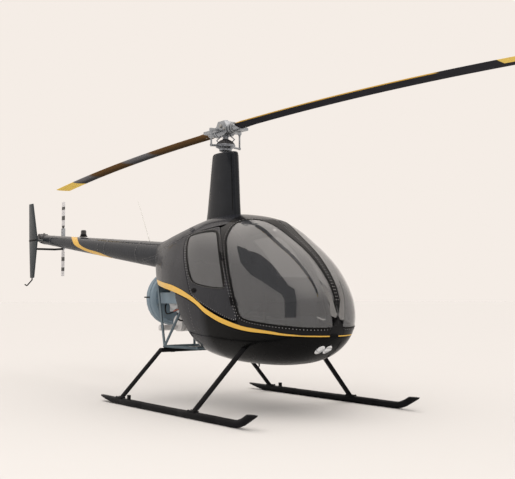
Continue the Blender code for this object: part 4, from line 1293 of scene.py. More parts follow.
@dataclass
class Fuselage:
    """Painted panels, glazing and doors with their trim.

    Attributes:
        skin: The smooth surface they are cut from.
        wall: Thickness of the panels.
        door_wall: Thickness of the doors.
        pane: Thickness of the glass.
        pane_gap: Gap round a pane.
    """

    skin: Skin
    wall: float = 0.020
    door_wall: float = 0.024
    pane: float = 0.005
    pane_gap: float = 0.0003

    def __post_init__(self) -> None:
        """Round the outlines and lay them on the skin."""
        self.door_rows = filled_in(corner_cut(DOOR_OUTLINE), 0.03)
        self.window_rows = filled_in(corner_cut(DOOR_WINDOW), 0.025)
        self.screens = {}
        for side in Side:
            rows = corner_cut([(x, side.value * y, z) for x, y, z in WINDSHIELD], 2, 0.2)
            self.screens[side] = self.skin.snapped(filled_in(rows, 0.03))

    def on_side(self, rows: np.ndarray, side: Side) -> np.ndarray:
        """Side-view rows, x and z ahead of anything else, as points on the skin."""
        return np.array([(x, side.value * self.skin.side_y(x, z), z) for x, z, *_ in rows])

    def line(self, rows: Sequence[Point], side: Side) -> Line:
        """A side-view line on the skin."""
        points = self.on_side(filled_in(np.array(rows, float), 0.03, False), side)
        return points, self.skin.normals(points)

    def regions(self) -> dict[str, Mesh]:
        """The cutters that hold each panel, by node name."""
        back = [(x - self.pane_gap, z) for x, z in FIREWALL_LINE]
        ahead = [(x, z) for x, z in SILL_LINE if x > 0.95]
        behind = [(x, z) for x, z in SILL_LINE if -0.11 < x < 0.22]
        tub = [(x, z - SEAM) for x, z in (*ahead, *POST_FOOT)]
        tub += [*UNDER_DOOR, (COWL_TOE[0] + SEAM, COWL_TOE[1]), (behind[0][0] + SEAM, behind[0][1])]
        tub += [(x, z - SEAM) for x, z in behind] + [back[2], back[1], back[0], (AHEAD, 0.30)]
        canopy = [(x, z + SEAM) for x, z in (*ahead, *POST_FOOT)]
        canopy += [(0.30, 1.60), (ROOF_FRONT_X + SEAM, ROOF_CORNER_Z - 0.01),
                   (ROOF_FRONT_X + SEAM, HIGH), (AHEAD, HIGH)]
        roof = [(x, z + SEAM) for x, z in ROOF_LINE]
        roof += [(ROOF_FRONT_X - SEAM, ROOF_CORNER_Z), (ROOF_FRONT_X - SEAM, HIGH), (BEHIND, HIGH)]
        cowl = [(x, z + SEAM) for x, z in SILL_LINE if x < 0.22][::-1]
        cowl += [(COWL_TOE[0] - SEAM, COWL_TOE[1]), *COWL_HEAD]
        cowl += [(x, z - SEAM) for x, z in ROOF_LINE if x < -0.09][::-1]
        made = {"nose_belly_shell": drawn_out(tub, -WIDE, WIDE),
                "canopy_frame": drawn_out(canopy, -WIDE, WIDE),
                "roof_cowl": drawn_out(roof, -WIDE, WIDE)}
        for side in Side:
            ends = sorted((side.value * 0.0002, side.value * WIDE))
            made[f"side_cowl_{side.label}"] = drawn_out(cowl, *ends)
        return made

    def panels(self) -> None:
        """Build the fixed panels with their openings."""
        holes, screens = {}, {}
        for side in Side:
            outline = self.on_side(self.door_rows, side)
            holes[side] = self.skin.plug(outline, self.door_rows[:, 2] + DOOR_INSET)
            screens[side] = self.skin.plug(self.screens[side], 0.0, WINDSHIELD_REACH)
        bore = LAMP_RADIUS + 0.0004
        lamp_holes = [turned(((0.0, -0.1), (bore, -0.1), (bore, 0.3), (0.0, 0.3)),
                             facing((LAMP_X, y, LAMP_Z), (1, 0, 0)), 48) for y in LAMP_Y]
        for node, region in self.regions().items():
            steps = [("INTERSECT", region)]
            sides = [side for side in Side if node.endswith(side.label)] or list(Side)
            steps += [("DIFFERENCE", holes[side].copy()) for side in sides]
            if node == "canopy_frame":
                steps += [("DIFFERENCE", screens[side].copy()) for side in Side]
            if node == "nose_belly_shell":
                steps += [("DIFFERENCE", hole) for hole in lamp_holes]
            mesh = self.skin.piece(self.wall, steps)
            finish = FRAME_PAINT if node == "canopy_frame" else BODY_PAINT
            obj = placed(f"{node}_skin", mesh, finish, "airframe", [node], "gloss_black_paint")
            self.skin.lined(obj, LINING)

    def glazing(self) -> None:
        """Build the windshield halves with their seals and riveted trim."""
        pairs, rows = [], []
        height = 0.0016
        for side in Side:
            points = np.minimum(self.screens[side], (NOSE_TRIM_X, WIDE, HIGH))
            normals = self.skin.normals(np.minimum(points, (NOSE_STEADY_X, WIDE, HIGH)))
            cutter = self.skin.plug(points, -self.pane_gap, WINDSHIELD_REACH)
            pane = self.skin.piece(self.pane, [("INTERSECT", cutter)])
            placed(f"windshield_{side.label}_pane", pane, GLASS, "airframe",
                   [f"windshield_{side.label}"], "tinted_glazing")
            x, off, z = points[:, 0], np.abs(points[:, 1]), points[:, 2]
            post = (x < 0.93) & (off > 0.30)
            bow = (off < 0.20) & (z > 0.79) & (z < 1.715)
            wide = self.evened(np.where(post, 0.034, np.where(bow, off - 0.001, 0.023)))
            pairs.append(self.edged((points, normals), wide, height))
            across = self.sideways(points, normals)
            rows.append(self.looped(points + across * (wide - 0.007)[:, None] + normals * height, normals))
        trims, seals = zip(*pairs)
        placed("windshield_trim", merged(trims), TRIM_BLACK)
        placed("windshield_seals", merged(seals), RUBBER)
        placed("windshield_rivets", POP_RIVET.along(rows, RIVET), RIVET)

    def edged(self, line: Line, wide: np.ndarray, height: float) -> tuple[Mesh, Mesh]:
        """The trim strip, with its width at each point, and the seal along the edge of a pane."""
        out = self.outward(*line)
        return rail(*line, wide, height, out * wide * 0.48), rail(*line, 0.006, height + 0.0014, out * -0.002)

    @staticmethod
    def evened(widths: np.ndarray) -> np.ndarray:
        """Widths round a loop with soft changes between them."""
        for _ in range(3):
            widths = (np.roll(widths, 1) + widths + np.roll(widths, -1)) / 3.0
        return widths

    @staticmethod
    def looped(points: np.ndarray, normals: np.ndarray) -> Line:
        """A loop as a line that ends where it starts."""
        return tuple(np.vstack([part, part[:1]]) for part in (points, normals))

    def sideways(self, points: np.ndarray, normals: np.ndarray) -> np.ndarray:
        """Directions in the surface that lead out of a loop."""
        along = np.roll(points, -1, axis=0) - np.roll(points, 1, axis=0)
        along /= np.linalg.norm(along, axis=1, keepdims=True)
        return np.cross(along, normals) * self.outward(points, normals)

    @staticmethod
    def outward(points: np.ndarray, normals: np.ndarray) -> float:
        """One where the side of a loop's rail leads out of it, else minus one."""
        side = np.cross(np.roll(points, -1, axis=0) - np.roll(points, 1, axis=0), normals)
        return 1.0 if np.sum(side * (points - points.mean(axis=0))) > 0 else -1.0

    def doors(self) -> None:
        """Build the doors with their windows, trim, hinges and handles."""
        height = 0.0014
        for side in Side:
            body = f"door_{side.label}"
            outline, window = self.on_side(self.door_rows, side), self.on_side(self.window_rows, side)
            steps = [("INTERSECT", self.skin.plug(outline, -DOOR_INSET)),
                     ("DIFFERENCE", self.skin.plug(window, 0.0))]
            door = placed(f"{body}_skin", self.skin.piece(self.door_wall, steps), BODY_PAINT, body, [body],
                          "gloss_black_paint")
            self.skin.lined(door, LINING)
            pane = self.skin.piece(self.pane, [("INTERSECT", self.skin.plug(window, -self.pane_gap))])
            placed(f"door_glass_{side.label}_pane", pane, GLASS, body,
                   [f"door_glass_{side.label}"], "tinted_glazing")
            x, z = window[:, 0], window[:, 2]
            ahead = (x > 0.44) & (z < 1.61) & (z > 1.13)
            low = (z < 1.22) & (x > 0.24) & ~ahead
            wide = self.evened(np.where(ahead, 0.043, np.where(low, 0.014, 0.030)))
            normals = self.skin.normals(window)
            trim, seal = self.edged((window, normals), wide, height)
            placed(f"{body}_window_trim", trim, TRIM_BLACK, body)
            placed(f"{body}_window_seal", seal, RUBBER, body)
            inner = window + self.sideways(window, normals) * (wide - 0.006)[:, None] + normals * height
            up = self.skin.normals(outline)
            edge = outline - self.sideways(outline, up) * 0.014 + up * 0.0012
            rows = [self.looped(inner, normals), self.looped(edge, up)]
            placed(f"{body}_rivets", POP_RIVET.along(rows, RIVET), RIVET, body)
            self.hinges(side, body)
            self.handle(side, body)
            self.weather_strip(side, outline)

    def weather_strip(self, side: Side, outline: np.ndarray) -> None:
        """Line the frame behind the door's top, rear and lower edge with a rubber strip.

        Args:
            side: Side of the machine.
            outline: The door opening on the skin.
        """
        keep = outline[:, 0] < 0.375        # not along the hinged front edge
        start = int(np.argmax(~keep))
        ups = self.skin.normals(outline)
        line, away, up = (np.roll(part, -start, axis=0)[np.roll(keep, -start)]
                          for part in (outline, self.sideways(outline, ups), ups))
        profile = ((0.006, -0.0185), (0.006, -0.0300), (-0.014, -0.0300), (-0.014, -0.0335),
                   (0.019, -0.0335), (0.019, -0.0185))
        rings = [[spot + aside * a + lift * b for a, b in profile]
                 for spot, aside, lift in zip(line, away, up)]
        placed(f"door_{side.label}_weather_strip", loft(rings), RUBBER)

    def hinges(self, side: Side, body: str) -> None:
        """Build the hinge knuckles of a door, on the door and on its post.

        Args:
            side: Side of the machine.
            body: The door's body.
        """
        ends = [Vector((p[0], side.value * -p[1], p[2])) for p in (HINGE_TOP, HINGE_LOW)]
        axis = (ends[0] - ends[1]).normalized()
        moving, fixed = [], []
        for knuckle in ends:
            half = axis * 0.025
            inboard = Vector((-0.040, -side.value * 0.045, 0.0))
            moving.append(tube([knuckle - half, knuckle + half], 0.009, 20))
            moving.append(turned(((0.0, 0.0), (0.0065, 0.0), (0.0065, 0.003), (0.004, 0.005), (0.0, 0.005)),
                                 facing(knuckle + half, axis), 20))
            moving.append(tube([knuckle, knuckle + inboard], 0.006, 12))
            upper = knuckle - axis * 0.0253
            lower = upper - axis * 0.030
            middle = (upper + lower) / 2
            fixed.append(tube([upper, lower], 0.009, 20))
            fixed.append(tube([middle, middle + Vector((0.008, -side.value * 0.060, 0.0))], 0.006, 12))
        placed(f"{body}_knuckles", merged(moving), SATIN_BLACK, body)
        placed(f"post_knuckles_{side.label}", merged(fixed), SATIN_BLACK)

    def handle(self, side: Side, body: str) -> None:
        """Build a door handle: a dished plate, a lever and its pivot.

        Args:
            side: Side of the machine.
            body: The door's body.
        """
        x, z = 0.270, 1.085
        point = Vector((x, side.value * self.skin.side_y(x, z), z))
        normal = Vector(self.skin.normals(np.array([point]))[0])
        frame = facing(point, normal)
        plate = turned(((0.0, 0.0008), (0.020, 0.0010), (0.024, 0.0030), (0.028, 0.0030), (0.030, -0.001),
                        (0.0, -0.001)), steps=48)
        plate.transform(frame @ Matrix.Diagonal((1.5, 0.8, 1.0, 1.0)))
        run = ((-0.028, 0.0, 0.006), (0.0, 0.0, 0.009), (0.026, 0.0, 0.007))
        lever = tube([frame @ Vector(p) for p in run], (0.0035, 0.005, 0.004), 14)
        pivot = tube([frame @ Vector((-0.022, 0, 0)), frame @ Vector((-0.022, 0, 0.010))], 0.006, 20)
        placed(f"{body}_handle", merged([plate, lever, pivot]), SATIN_BLACK, body)

    def seams(self) -> None:
        """Add rivet rows, the nose vent, the fuel cap and the belly aerial."""
        paths = ([(x, z + 0.016) for x, z in SILL_LINE if x < 0.20][::-1],
                 [(x, z + 0.014) for x, z in ROOF_LINE],
                 [(x, z - 0.014) for x, z in ROOF_LINE if x < -0.09],
                 [(0.171, 0.950), (0.209, 0.829), (0.213, 0.632)],
                 [(x + 0.016, z) for x, z in FIREWALL_LINE if 0.5 < z < 1.04],
                 [(-0.93, 1.40), (-0.93, 1.47)],
                 [(x, z - 0.028) for x, z in ((0.945, 0.790), (1.25, 0.753), (1.50, 0.722))])
        lines = [self.line(path, side) for side in Side for path in paths]
        placed("panel_rivets", FINE_RIVET.along(lines, RIVET), RIVET)
        self.vent()
        self.fuel_cap()
        x, y = 0.62, -0.06
        mast = tube([(x, y, 0.4150), (x, y, 0.385), (x - 0.02, y, 0.365)], (0.008, 0.006, 0.004), 14)
        base = turned(((0.0, -0.004), (0.02, -0.004), (0.018, 0.004), (0.0, 0.005)),
                      facing((x, y, 0.4125), (0, 0, -1)), 32)
        placed("belly_aerial", merged([mast, base]), SATIN_BLACK)

    def vent(self) -> None:
        """Build the oval air inlet low on the nose."""
        loop = self.skin.snapped(oval((1.58, -0.021, 0.699), 0.042, 0.024))
        normals = self.skin.normals(loop)
        ring = rail(loop, normals, 0.008, 0.004)
        heart = loop.mean(axis=0)
        inner = [heart + (loop - heart) * share + normals * lift
                 for share, lift in ((1.0, -0.004), (1.0, 0.0012), (0.5, 0.0016))]
        pad = loft([*[r.tolist() for r in inner], [(heart + normals.mean(axis=0) * 0.0018).tolist()]])
        bars = [tube([heart + (dx, -0.036 * w, dz), heart + (dx, 0.036 * w, dz)], 0.0018, 10)
                for dx, dz, w in ((0.0035, 0.0, 1.0), (0.001, 0.009, 0.9), (0.0060, -0.009, 0.9))]
        placed("nose_vent", merged([ring, *bars]), SATIN_BLACK)
        placed("nose_vent_screen", pad, RUBBER)

    def fuel_cap(self) -> None:
        """Build the flush fuel cap on the roof cowl."""
        point = self.skin.snapped(np.array([(-0.136, -0.320, 1.696)]))
        frame = facing(point[0], self.skin.normals(point)[0])
        cap = turned(((0.0, 0.020), (0.020, 0.020), (0.024, 0.017), (0.0245, 0.005), (0.033, 0.0035),
                      (0.036, -0.002), (0.0, -0.002)), frame, 48)
        grip = tube([frame @ Vector((-0.018, 0, 0.022)), frame @ Vector((0.018, 0, 0.022))], 0.004, 12)
        placed("fuel_cap", merged([cap, grip]), CASTING)

    def build(self) -> None:
        """Build the whole fuselage."""
        self.panels()
        self.glazing()
        self.doors()
        self.seams()


# What keeps its solid


@dataclass(frozen=True)
class Kept:
    """A solid that keeps its form and gets rounded edges and a finish.

    Attributes:
        node: Its node.
        finish: What it is made of.
        width: Rounding of its edges.
        angle: Edges flatter than this stay.
    """

    node: str
    finish: Finish
    width: float = 0.003
    angle: float = 35.0

    def build(self, frame: dict) -> None:
        """Put a rounded copy in place of the solid.
        """
        source = frame["nodes"][self.node]
        mesh = softened(source.data, self.width, 2, self.angle)
        mesh.transform(Matrix.Translation(-MAST))
        slots = {s["node"]: s["material_slot"] for s in frame["record"]["subparts"]}
        placed(f"{self.node}_finished", mesh, self.finish, source["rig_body"], [self.node],
               slots.get(self.node))


KEPT = (
    Kept("firewall", LINING), Kept("cabin_floor", LINING), Kept("seat_box", LINING, 0.012),
    Kept("instrument_console", LINING, 0.02), Kept("cyclic_t_bar", SATIN_BLACK, 0.001, 50.0),
    Kept("collective_lever", SATIN_BLACK, 0.001, 50.0), Kept("pedals", SATIN_BLACK, 0.002),
    Kept("rotor_hub", SILVER, 0.003), Kept("tail_gearbox", CASTING, 0.003),
    Kept("horizontal_stabiliser", FIN_PAINT, 0.001), Kept("upper_fin", FIN_PAINT, 0.007),
    Kept("lower_fin", FIN_PAINT, 0.007), Kept("tail_skid", SATIN_BLACK, 0.0, 50.0),
    Kept("tail_rotor_guard", SATIN_BLACK, 0.0, 50.0),
    Kept("whip_antenna", WHITE_ROD, 0.0, 60.0), Kept("tail_rotor_hub", SILVER, 0.003),
    Kept("frame_tubes", TUBE_STEEL, 0.0, 60.0), Kept("engine", PALE_CAST, 0.003),
    Kept("fan_scroll", SCROLL_SHELL, 0.006), Kept("exhaust", EXHAUST, 0.003),
    *(Kept(f"strut_{end}_{side.label}", SATIN_BLACK, 0.0, 50.0)
      for end in ("front", "rear") for side in Side),
    Kept("rear_cross_tube", SATIN_BLACK, 0.0, 50.0),
    *(Kept(f"skid_{side.label}", SATIN_BLACK, 0.002, 50.0) for side in Side),
    Kept("landing_lamps", LAMP, 0.0, 50.0),
)


@dataclass
class SeatPad:
    """A crowned leather pad with channels, piping and stitches.

    Attributes:
        name: Name of the pad and of its node.
        centre: Its middle.
        axes: Directions of its width, its length and its thickness.
        half: Half its size along them.
        crown: How far its middle rises over its corners, as a share of its thickness.
        channels: Places of the sewn channels across its width, from -1 to 1.
        grid: Faces along each edge of the cube it is blown up from.
    """

    name: str
    centre: Vector
    axes: tuple[Vector, Vector, Vector]
    half: Point
    crown: float = 0.34
    channels: Sequence[float] = (-0.42, 0.42)
    grid: int = 56

    def spot(self, cube: np.ndarray) -> np.ndarray:
        """Points of the pad for points on the surface of a cube.

        Args:
            cube: Points in rows, each number from -1 to 1.

        Returns:
            The points of the pad.
        """
        length = (np.abs(cube) ** 7).sum(axis=1, keepdims=True) ** (1.0 / 7)
        p = cube / length
        u, v, w = p[:, 0], p[:, 1], p[:, 2]
        bulge = (1.0 - self.crown) + self.crown * (1.0 - u ** 4) * (1.0 - v ** 4)
        groove = sum(np.exp(-((u - c) / 0.045) ** 2) for c in self.channels)
        groove = groove + np.exp(-((v - 0.55) / 0.030) ** 2) * (np.abs(u) < 0.97)
        top = np.where(w > 0, w * bulge - 0.16 * np.minimum(groove, 1.0) * np.clip(w, 0, 1) ** 4, w)
        pull = 1.0 - 0.022 * (1.0 - v ** 2)
        tuck = 1.0 - 0.022 * (1.0 - u ** 2)
        local = np.column_stack([u * pull * self.half[0], v * tuck * self.half[1], top * self.half[2]])
        basis = np.array([tuple(a) for a in self.axes])
        return local @ basis + np.array(tuple(self.centre))

    def shape(self) -> Mesh:
        """The padded form."""
        steps = np.linspace(-1.0, 1.0, self.grid + 1)

        def build(work: bmesh.types.BMesh) -> None:
            """Fill the bmesh."""
            for axis in range(3):
                for end in (-1.0, 1.0):
                    a, b = np.meshgrid(steps, steps, indexing="ij")
                    cube = np.full((a.size, 3), end)
                    cube[:, (axis + 1) % 3] = a.ravel()
                    cube[:, (axis + 2) % 3] = b.ravel()
                    verts = [work.verts.new(p) for p in self.spot(cube)]
                    n = self.grid + 1
                    for i in range(self.grid):
                        for j in range(self.grid):
                            k = i * n + j
                            work.faces.new((verts[k], verts[k + 1], verts[k + n + 1], verts[k + n]))
            bmesh.ops.remove_doubles(work, verts=work.verts, dist=1e-6)
        mesh = filled(build)
        mesh.shade_smooth()
        return mesh

    def piping(self) -> Mesh:
        """The welt round the upper edge."""
        loop = corner_cut([(-1, -1), (1, -1), (1, 1), (-1, 1)], 4) * 0.97
        cube = np.column_stack([loop, np.full(len(loop), 0.93)])
        return rail(*leaning(self.spot(filled_in(cube, 0.06)), tuple(self.axes[2])), 0.007, 0.003)

    def stitches(self) -> Mesh:
        """Stitches on both sides of every channel."""
        lines = []
        run = np.linspace(-0.86, 0.86, 60)
        for channel in self.channels:
            for shift in (-0.075, 0.075):
                cube = np.column_stack([np.full(60, channel + shift), run, np.ones(60)])
                lines.append(leaning(self.spot(cube), tuple(self.axes[2])))
        return STITCH.along(lines, THREAD)

    def build(self) -> None:
        """Build the pad in place of its node."""
        pad = placed(f"{self.name}_pad", self.shape(), LEATHER, "airframe", [self.name], "seat_leather")
        placed(f"{self.name}_piping", self.piping(), SATIN_BLACK)
        placed(f"{self.name}_stitches", self.stitches(), THREAD)


@dataclass
class Cabin:
    """Seats, belts and instruments.

    Attributes:
        seat_y: Distance of a seat's middle from the middle plane.
    """

    seat_y: float = 0.255

    def seats(self) -> None:
        """Build the padded seats."""
        lean = Vector((-0.1275, 0.0, 0.574)).normalized()
        ahead = Vector((lean.z, 0.0, -lean.x))
        for side in Side:
            y = side.value * self.seat_y
            SeatPad(f"seat_cushion_{side.label}", Vector((0.342, y, 0.7755)),
                    (Vector((0, -1, 0)), Vector((1, 0, 0)), Vector((0, 0, 1))),
                    (0.197, 0.245, 0.0345)).build()
            SeatPad(f"seat_back_{side.label}", Vector((0.0440, y, 1.092)),
                    (Vector((0, 1, 0)), lean, ahead), (0.197, 0.277, 0.0445)).build()
            self.belt(side, y)

    def belt(self, side: Side, y: float) -> None:
        """Lay the shoulder and lap belts of one seat with their buckle.

        Args:
            side: Side of the machine.
            y: Middle of the seat.
        """
        strap = [(-0.045, 1.372), (0.010, 1.395), (0.052, 1.350), (0.105, 1.100), (0.160, 0.900),
                 (0.205, 0.832), (0.330, 0.822)]
        points = np.array([(x, y + side.value * 0.02, z) for x, z in strap])
        points = filled_in(points, 0.03, False)
        flow = np.gradient(points, axis=0)
        lean = np.cross(flow, (0.0, 1.0, 0.0))
        lean /= np.linalg.norm(lean, axis=1, keepdims=True)
        lean *= np.sign(lean[:, :1] + lean[:, 2:] + 1e-6)
        shoulder = rail(points, lean, 0.046, 0.0018, 0.0, False)
        lap = np.array([(0.20, y + 0.19, 0.800), (0.25, y + 0.12, 0.816), (0.33, y, 0.823),
                        (0.25, y - 0.12, 0.816), (0.20, y - 0.19, 0.800)])
        lap = filled_in(lap, 0.03, False)
        waist = rail(*leaning(lap, (0.0, 0.0, 1.0)), 0.046, 0.0018, 0.0, False)
        placed(f"belts_{side.label}", merged([shoulder, waist]), WEBBING)
        buckle = block((0.335, y, 0.829), (0.050, 0.062, 0.010))
        placed(f"buckle_{side.label}", softened(buckle, 0.003, 3), BOLT)

    def dials(self) -> None:
        """Set round instruments in the rear face of the console."""
        faces, rims = [], []
        aft = Vector((-1.0, 0.0, 0.14)).normalized()
        glass = ((0.0, 0.0010), (0.034, 0.0010), (0.034, -0.002), (0.0, -0.002))
        rim = ((0.033, 0.0), (0.033, 0.004), (0.037, 0.005), (0.040, 0.003), (0.040, 0.0))
        for z in (1.125, 1.040):
            for y in (-0.145, -0.05, 0.05, 0.145):
                frame = facing((1.0345 + (z - 0.98) * 0.125, y, z), aft)
                faces.append(turned(glass, frame, 32))
                rims.append(turned(rim, frame, 32))
        placed("dial_faces", merged(faces), DIAL)
        placed("dial_rims", merged(rims), SATIN_BLACK)

    def build(self) -> None:
        """Build everything in the cabin that has no solid of its own form."""
        self.seats()
        self.dials()


@dataclass
class MainRotor:
    """Mast, blades and the bolts of the head.

    Attributes:
        hub_z: Height of the blade axis at the mast.
        reach: Radius of the rotor.
        chord: Chord of a blade.
        tilt: Lean of the disc.
        droop: Sag at the tip.
    """

    hub_z: float = 2.70
    reach: float = 3.84
    chord: float = 0.196
    tilt: float = 0.0164
    droop: float = 0.155

    def axis_z(self, x: float) -> float:
        """Height of the blade axis at x."""
        return self.hub_z + self.tilt * x - self.droop * (abs(x) / self.reach) ** 2.2

    def foil(self, end: int, rows: Iterable[Point]) -> Mesh:
        """A stretch of the blade ahead of the mast, or behind it where end is minus one."""
        return winged(rows, self.chord, 0.30,
                      lambda reach, ahead, up: (end * reach, end * ahead, self.axis_z(end * reach) + up))

    def blade(self, end: int) -> Mesh:
        """One blade, ahead of the mast or behind it."""
        table = np.array(((0.2634, 0.60, 0.050), (0.300, 0.80, 0.045), (0.350, 0.93, 0.038),
                          (0.430, 1.0, 0.0255), (1.40, 1.0, 0.0226), (2.20, 1.0, 0.0216),
                          (3.00, 1.0, 0.0206), (3.60, 1.0, 0.0196), (3.800, 1.0, 0.0180),
                          (3.838, 0.97, 0.012)))
        reaches = np.unique(np.concatenate([table[:, 0], np.linspace(0.5, 3.8, 46)]))
        widths, thicks = (np.interp(reaches, table[:, 0], table[:, k]) for k in (1, 2))
        return self.foil(end, np.column_stack([reaches, widths, thicks]).tolist())

    def mast(self) -> None:
        """Build the shaft with the boot and the swashplate."""
        profile = ((0.0, 2.800), (0.024, 2.800), (0.0295, 2.792), (0.0295, 2.608), (0.034, 2.604),
                   (0.046, 2.599), (0.062, 2.590), (0.076, 2.579), (0.086, 2.568), (0.0925, 2.557),
                   (0.0925, 2.553), (0.096, 2.550), (0.0985, 2.547), (0.0985, 2.540), (0.0965, 2.538),
                   (0.0965, 2.535), (0.0985, 2.533), (0.0985, 2.526), (0.084, 2.520), (0.070, 2.512),
                   (0.064, 2.506), (0.064, 2.489), (0.045, 2.485), (0.0295, 2.480), (0.0295, 2.2505),
                   (0.0, 2.2505))
        mesh = turned(profile[::-1], steps=72)
        placed("rotor_mast_turned", mesh, MAST_METAL, "main_rotor", ["rotor_mast"], "dark_casting")

    def fittings(self) -> None:
        """Add the bolts, nuts and rod ends of the head."""
        bolts = []
        for x, z in ((0.0, 2.735), (-0.060, 2.700), (0.060, 2.700)):
            for end in (1, -1):
                frame = facing((x, end * 0.058, z), (0, end, 0))
                radius = 0.021 if x == 0.0 else 0.015
                bolts.append(turned(((0.0, 0.015), (radius * 0.7, 0.015), (radius * 0.8, 0.012),
                                     (radius * 0.8, 0.003), (radius, 0.003), (radius, -0.002), (0.0, -0.002)),
                                    frame, 6 if x else 24))
        rods = []
        for end in (1, -1):
            for z in (2.532, 2.676):
                ball = ((0.0, -0.016), (0.012, -0.012), (0.015, 0.0), (0.012, 0.012), (0.0, 0.016))
                rods.append(turned(ball, Matrix.Translation((0.0, end * 0.176, z)), 24))
            rods.append(tube([(0, end * 0.176, 2.655), (0, end * 0.176, 2.668)], 0.011, 6))
            rods.append(tube([(end * 0.034, end * 0.02, 2.548), (end * 0.085, end * 0.05, 2.600),
                              (end * 0.034, end * 0.02, 2.650)], 0.007, 12))
        rings = [ring_line((end * x, 0, self.axis_z(end * x)), (end, 0, 0), 0.050)
                 for end in (1, -1) for x in (0.131, 0.161)]
        rings += [ring_line((0, 0, 2.5485), (0, 0, 1), 0.088), ring_line((0, 0, 2.524), (0, 0, -1), 0.078)]
        placed("head_bolts", merged([*bolts, HEX_BOLT.along(rings, BOLT)]), BOLT, "main_rotor")
        placed("pitch_link_ends", merged(rods), SILVER, "main_rotor")

    def cuffs(self) -> None:
        """Clamp bolted cuffs on the blade roots."""
        cuffs, rows = [], []
        table = ((0.2636, 0.63, 0.054), (0.300, 0.82, 0.0485), (0.345, 0.935, 0.0415))
        for end in (1, -1):
            cuffs.append(self.foil(end, table))
            for lift in (1, -1):
                line = np.array([(end * x, 0.0, self.axis_z(end * x) + lift * 0.0195) for x in (0.29, 0.335)])
                rows.append(leaning(line, (0.0, 0.0, float(lift))))
        placed("blade_cuffs", merged(cuffs), BLADE_SKIN, "main_rotor")
        placed("cuff_bolts", HEX_BOLT.along(rows, BOLT), BOLT, "main_rotor")

    def build(self) -> None:
        """Build the main rotor."""
        self.mast()
        for label, end in (("front", 1), ("rear", -1)):
            placed(f"main_blade_{label}_skin", self.blade(end), BLADE_SKIN, "main_rotor",
                   [f"main_blade_{label}"], "blade_paint")
        self.cuffs()
        self.fittings()


def airfoil(chord: float, thick: float, lead_share: float, count: int = 18) -> list[tuple[float, float]]:
    """A symmetrical section.

    Args:
        chord: Its chord.
        thick: Its greatest thickness.
        lead_share: Share of the chord ahead of the pitch axis.
        count: Points on each face.

    Returns:
        Chordwise offset ahead of the axis and height of each point.
    """
    shares = [0.5 - 0.5 * cos(pi * k / count) for k in range(count + 1)]
    half = [max(thick / 2 * (0.2969 * sqrt(t) - 0.126 * t - 0.3516 * t ** 2 + 0.2843 * t ** 3
                             - 0.1036 * t ** 4) / 0.1, 0.0006) for t in shares]
    upper = [(chord * (lead_share - t), h) for t, h in zip(shares, half)]
    lower = [(chord * (lead_share - t), -h) for t, h in zip(shares, half)]
    return upper + lower[::-1]


def winged(rows: Iterable[Point], chord: float, lead_share: float,
           place: Callable[[float, float, float], Point]) -> Mesh:
    """A blade through symmetrical sections.

    Args:
        rows: Reach, share of the chord and thickness of each section.
        chord: The full chord.
        lead_share: Share of the chord ahead of the pitch axis.
        place: Gives a point for its reach, its offset ahead of the axis and its height.

    Returns:
        A closed smooth mesh.
    """
    return shaded(loft([[place(reach, ahead, up) for ahead, up in airfoil(chord * width, thick, lead_share)]
                        for reach, width, thick in rows]))


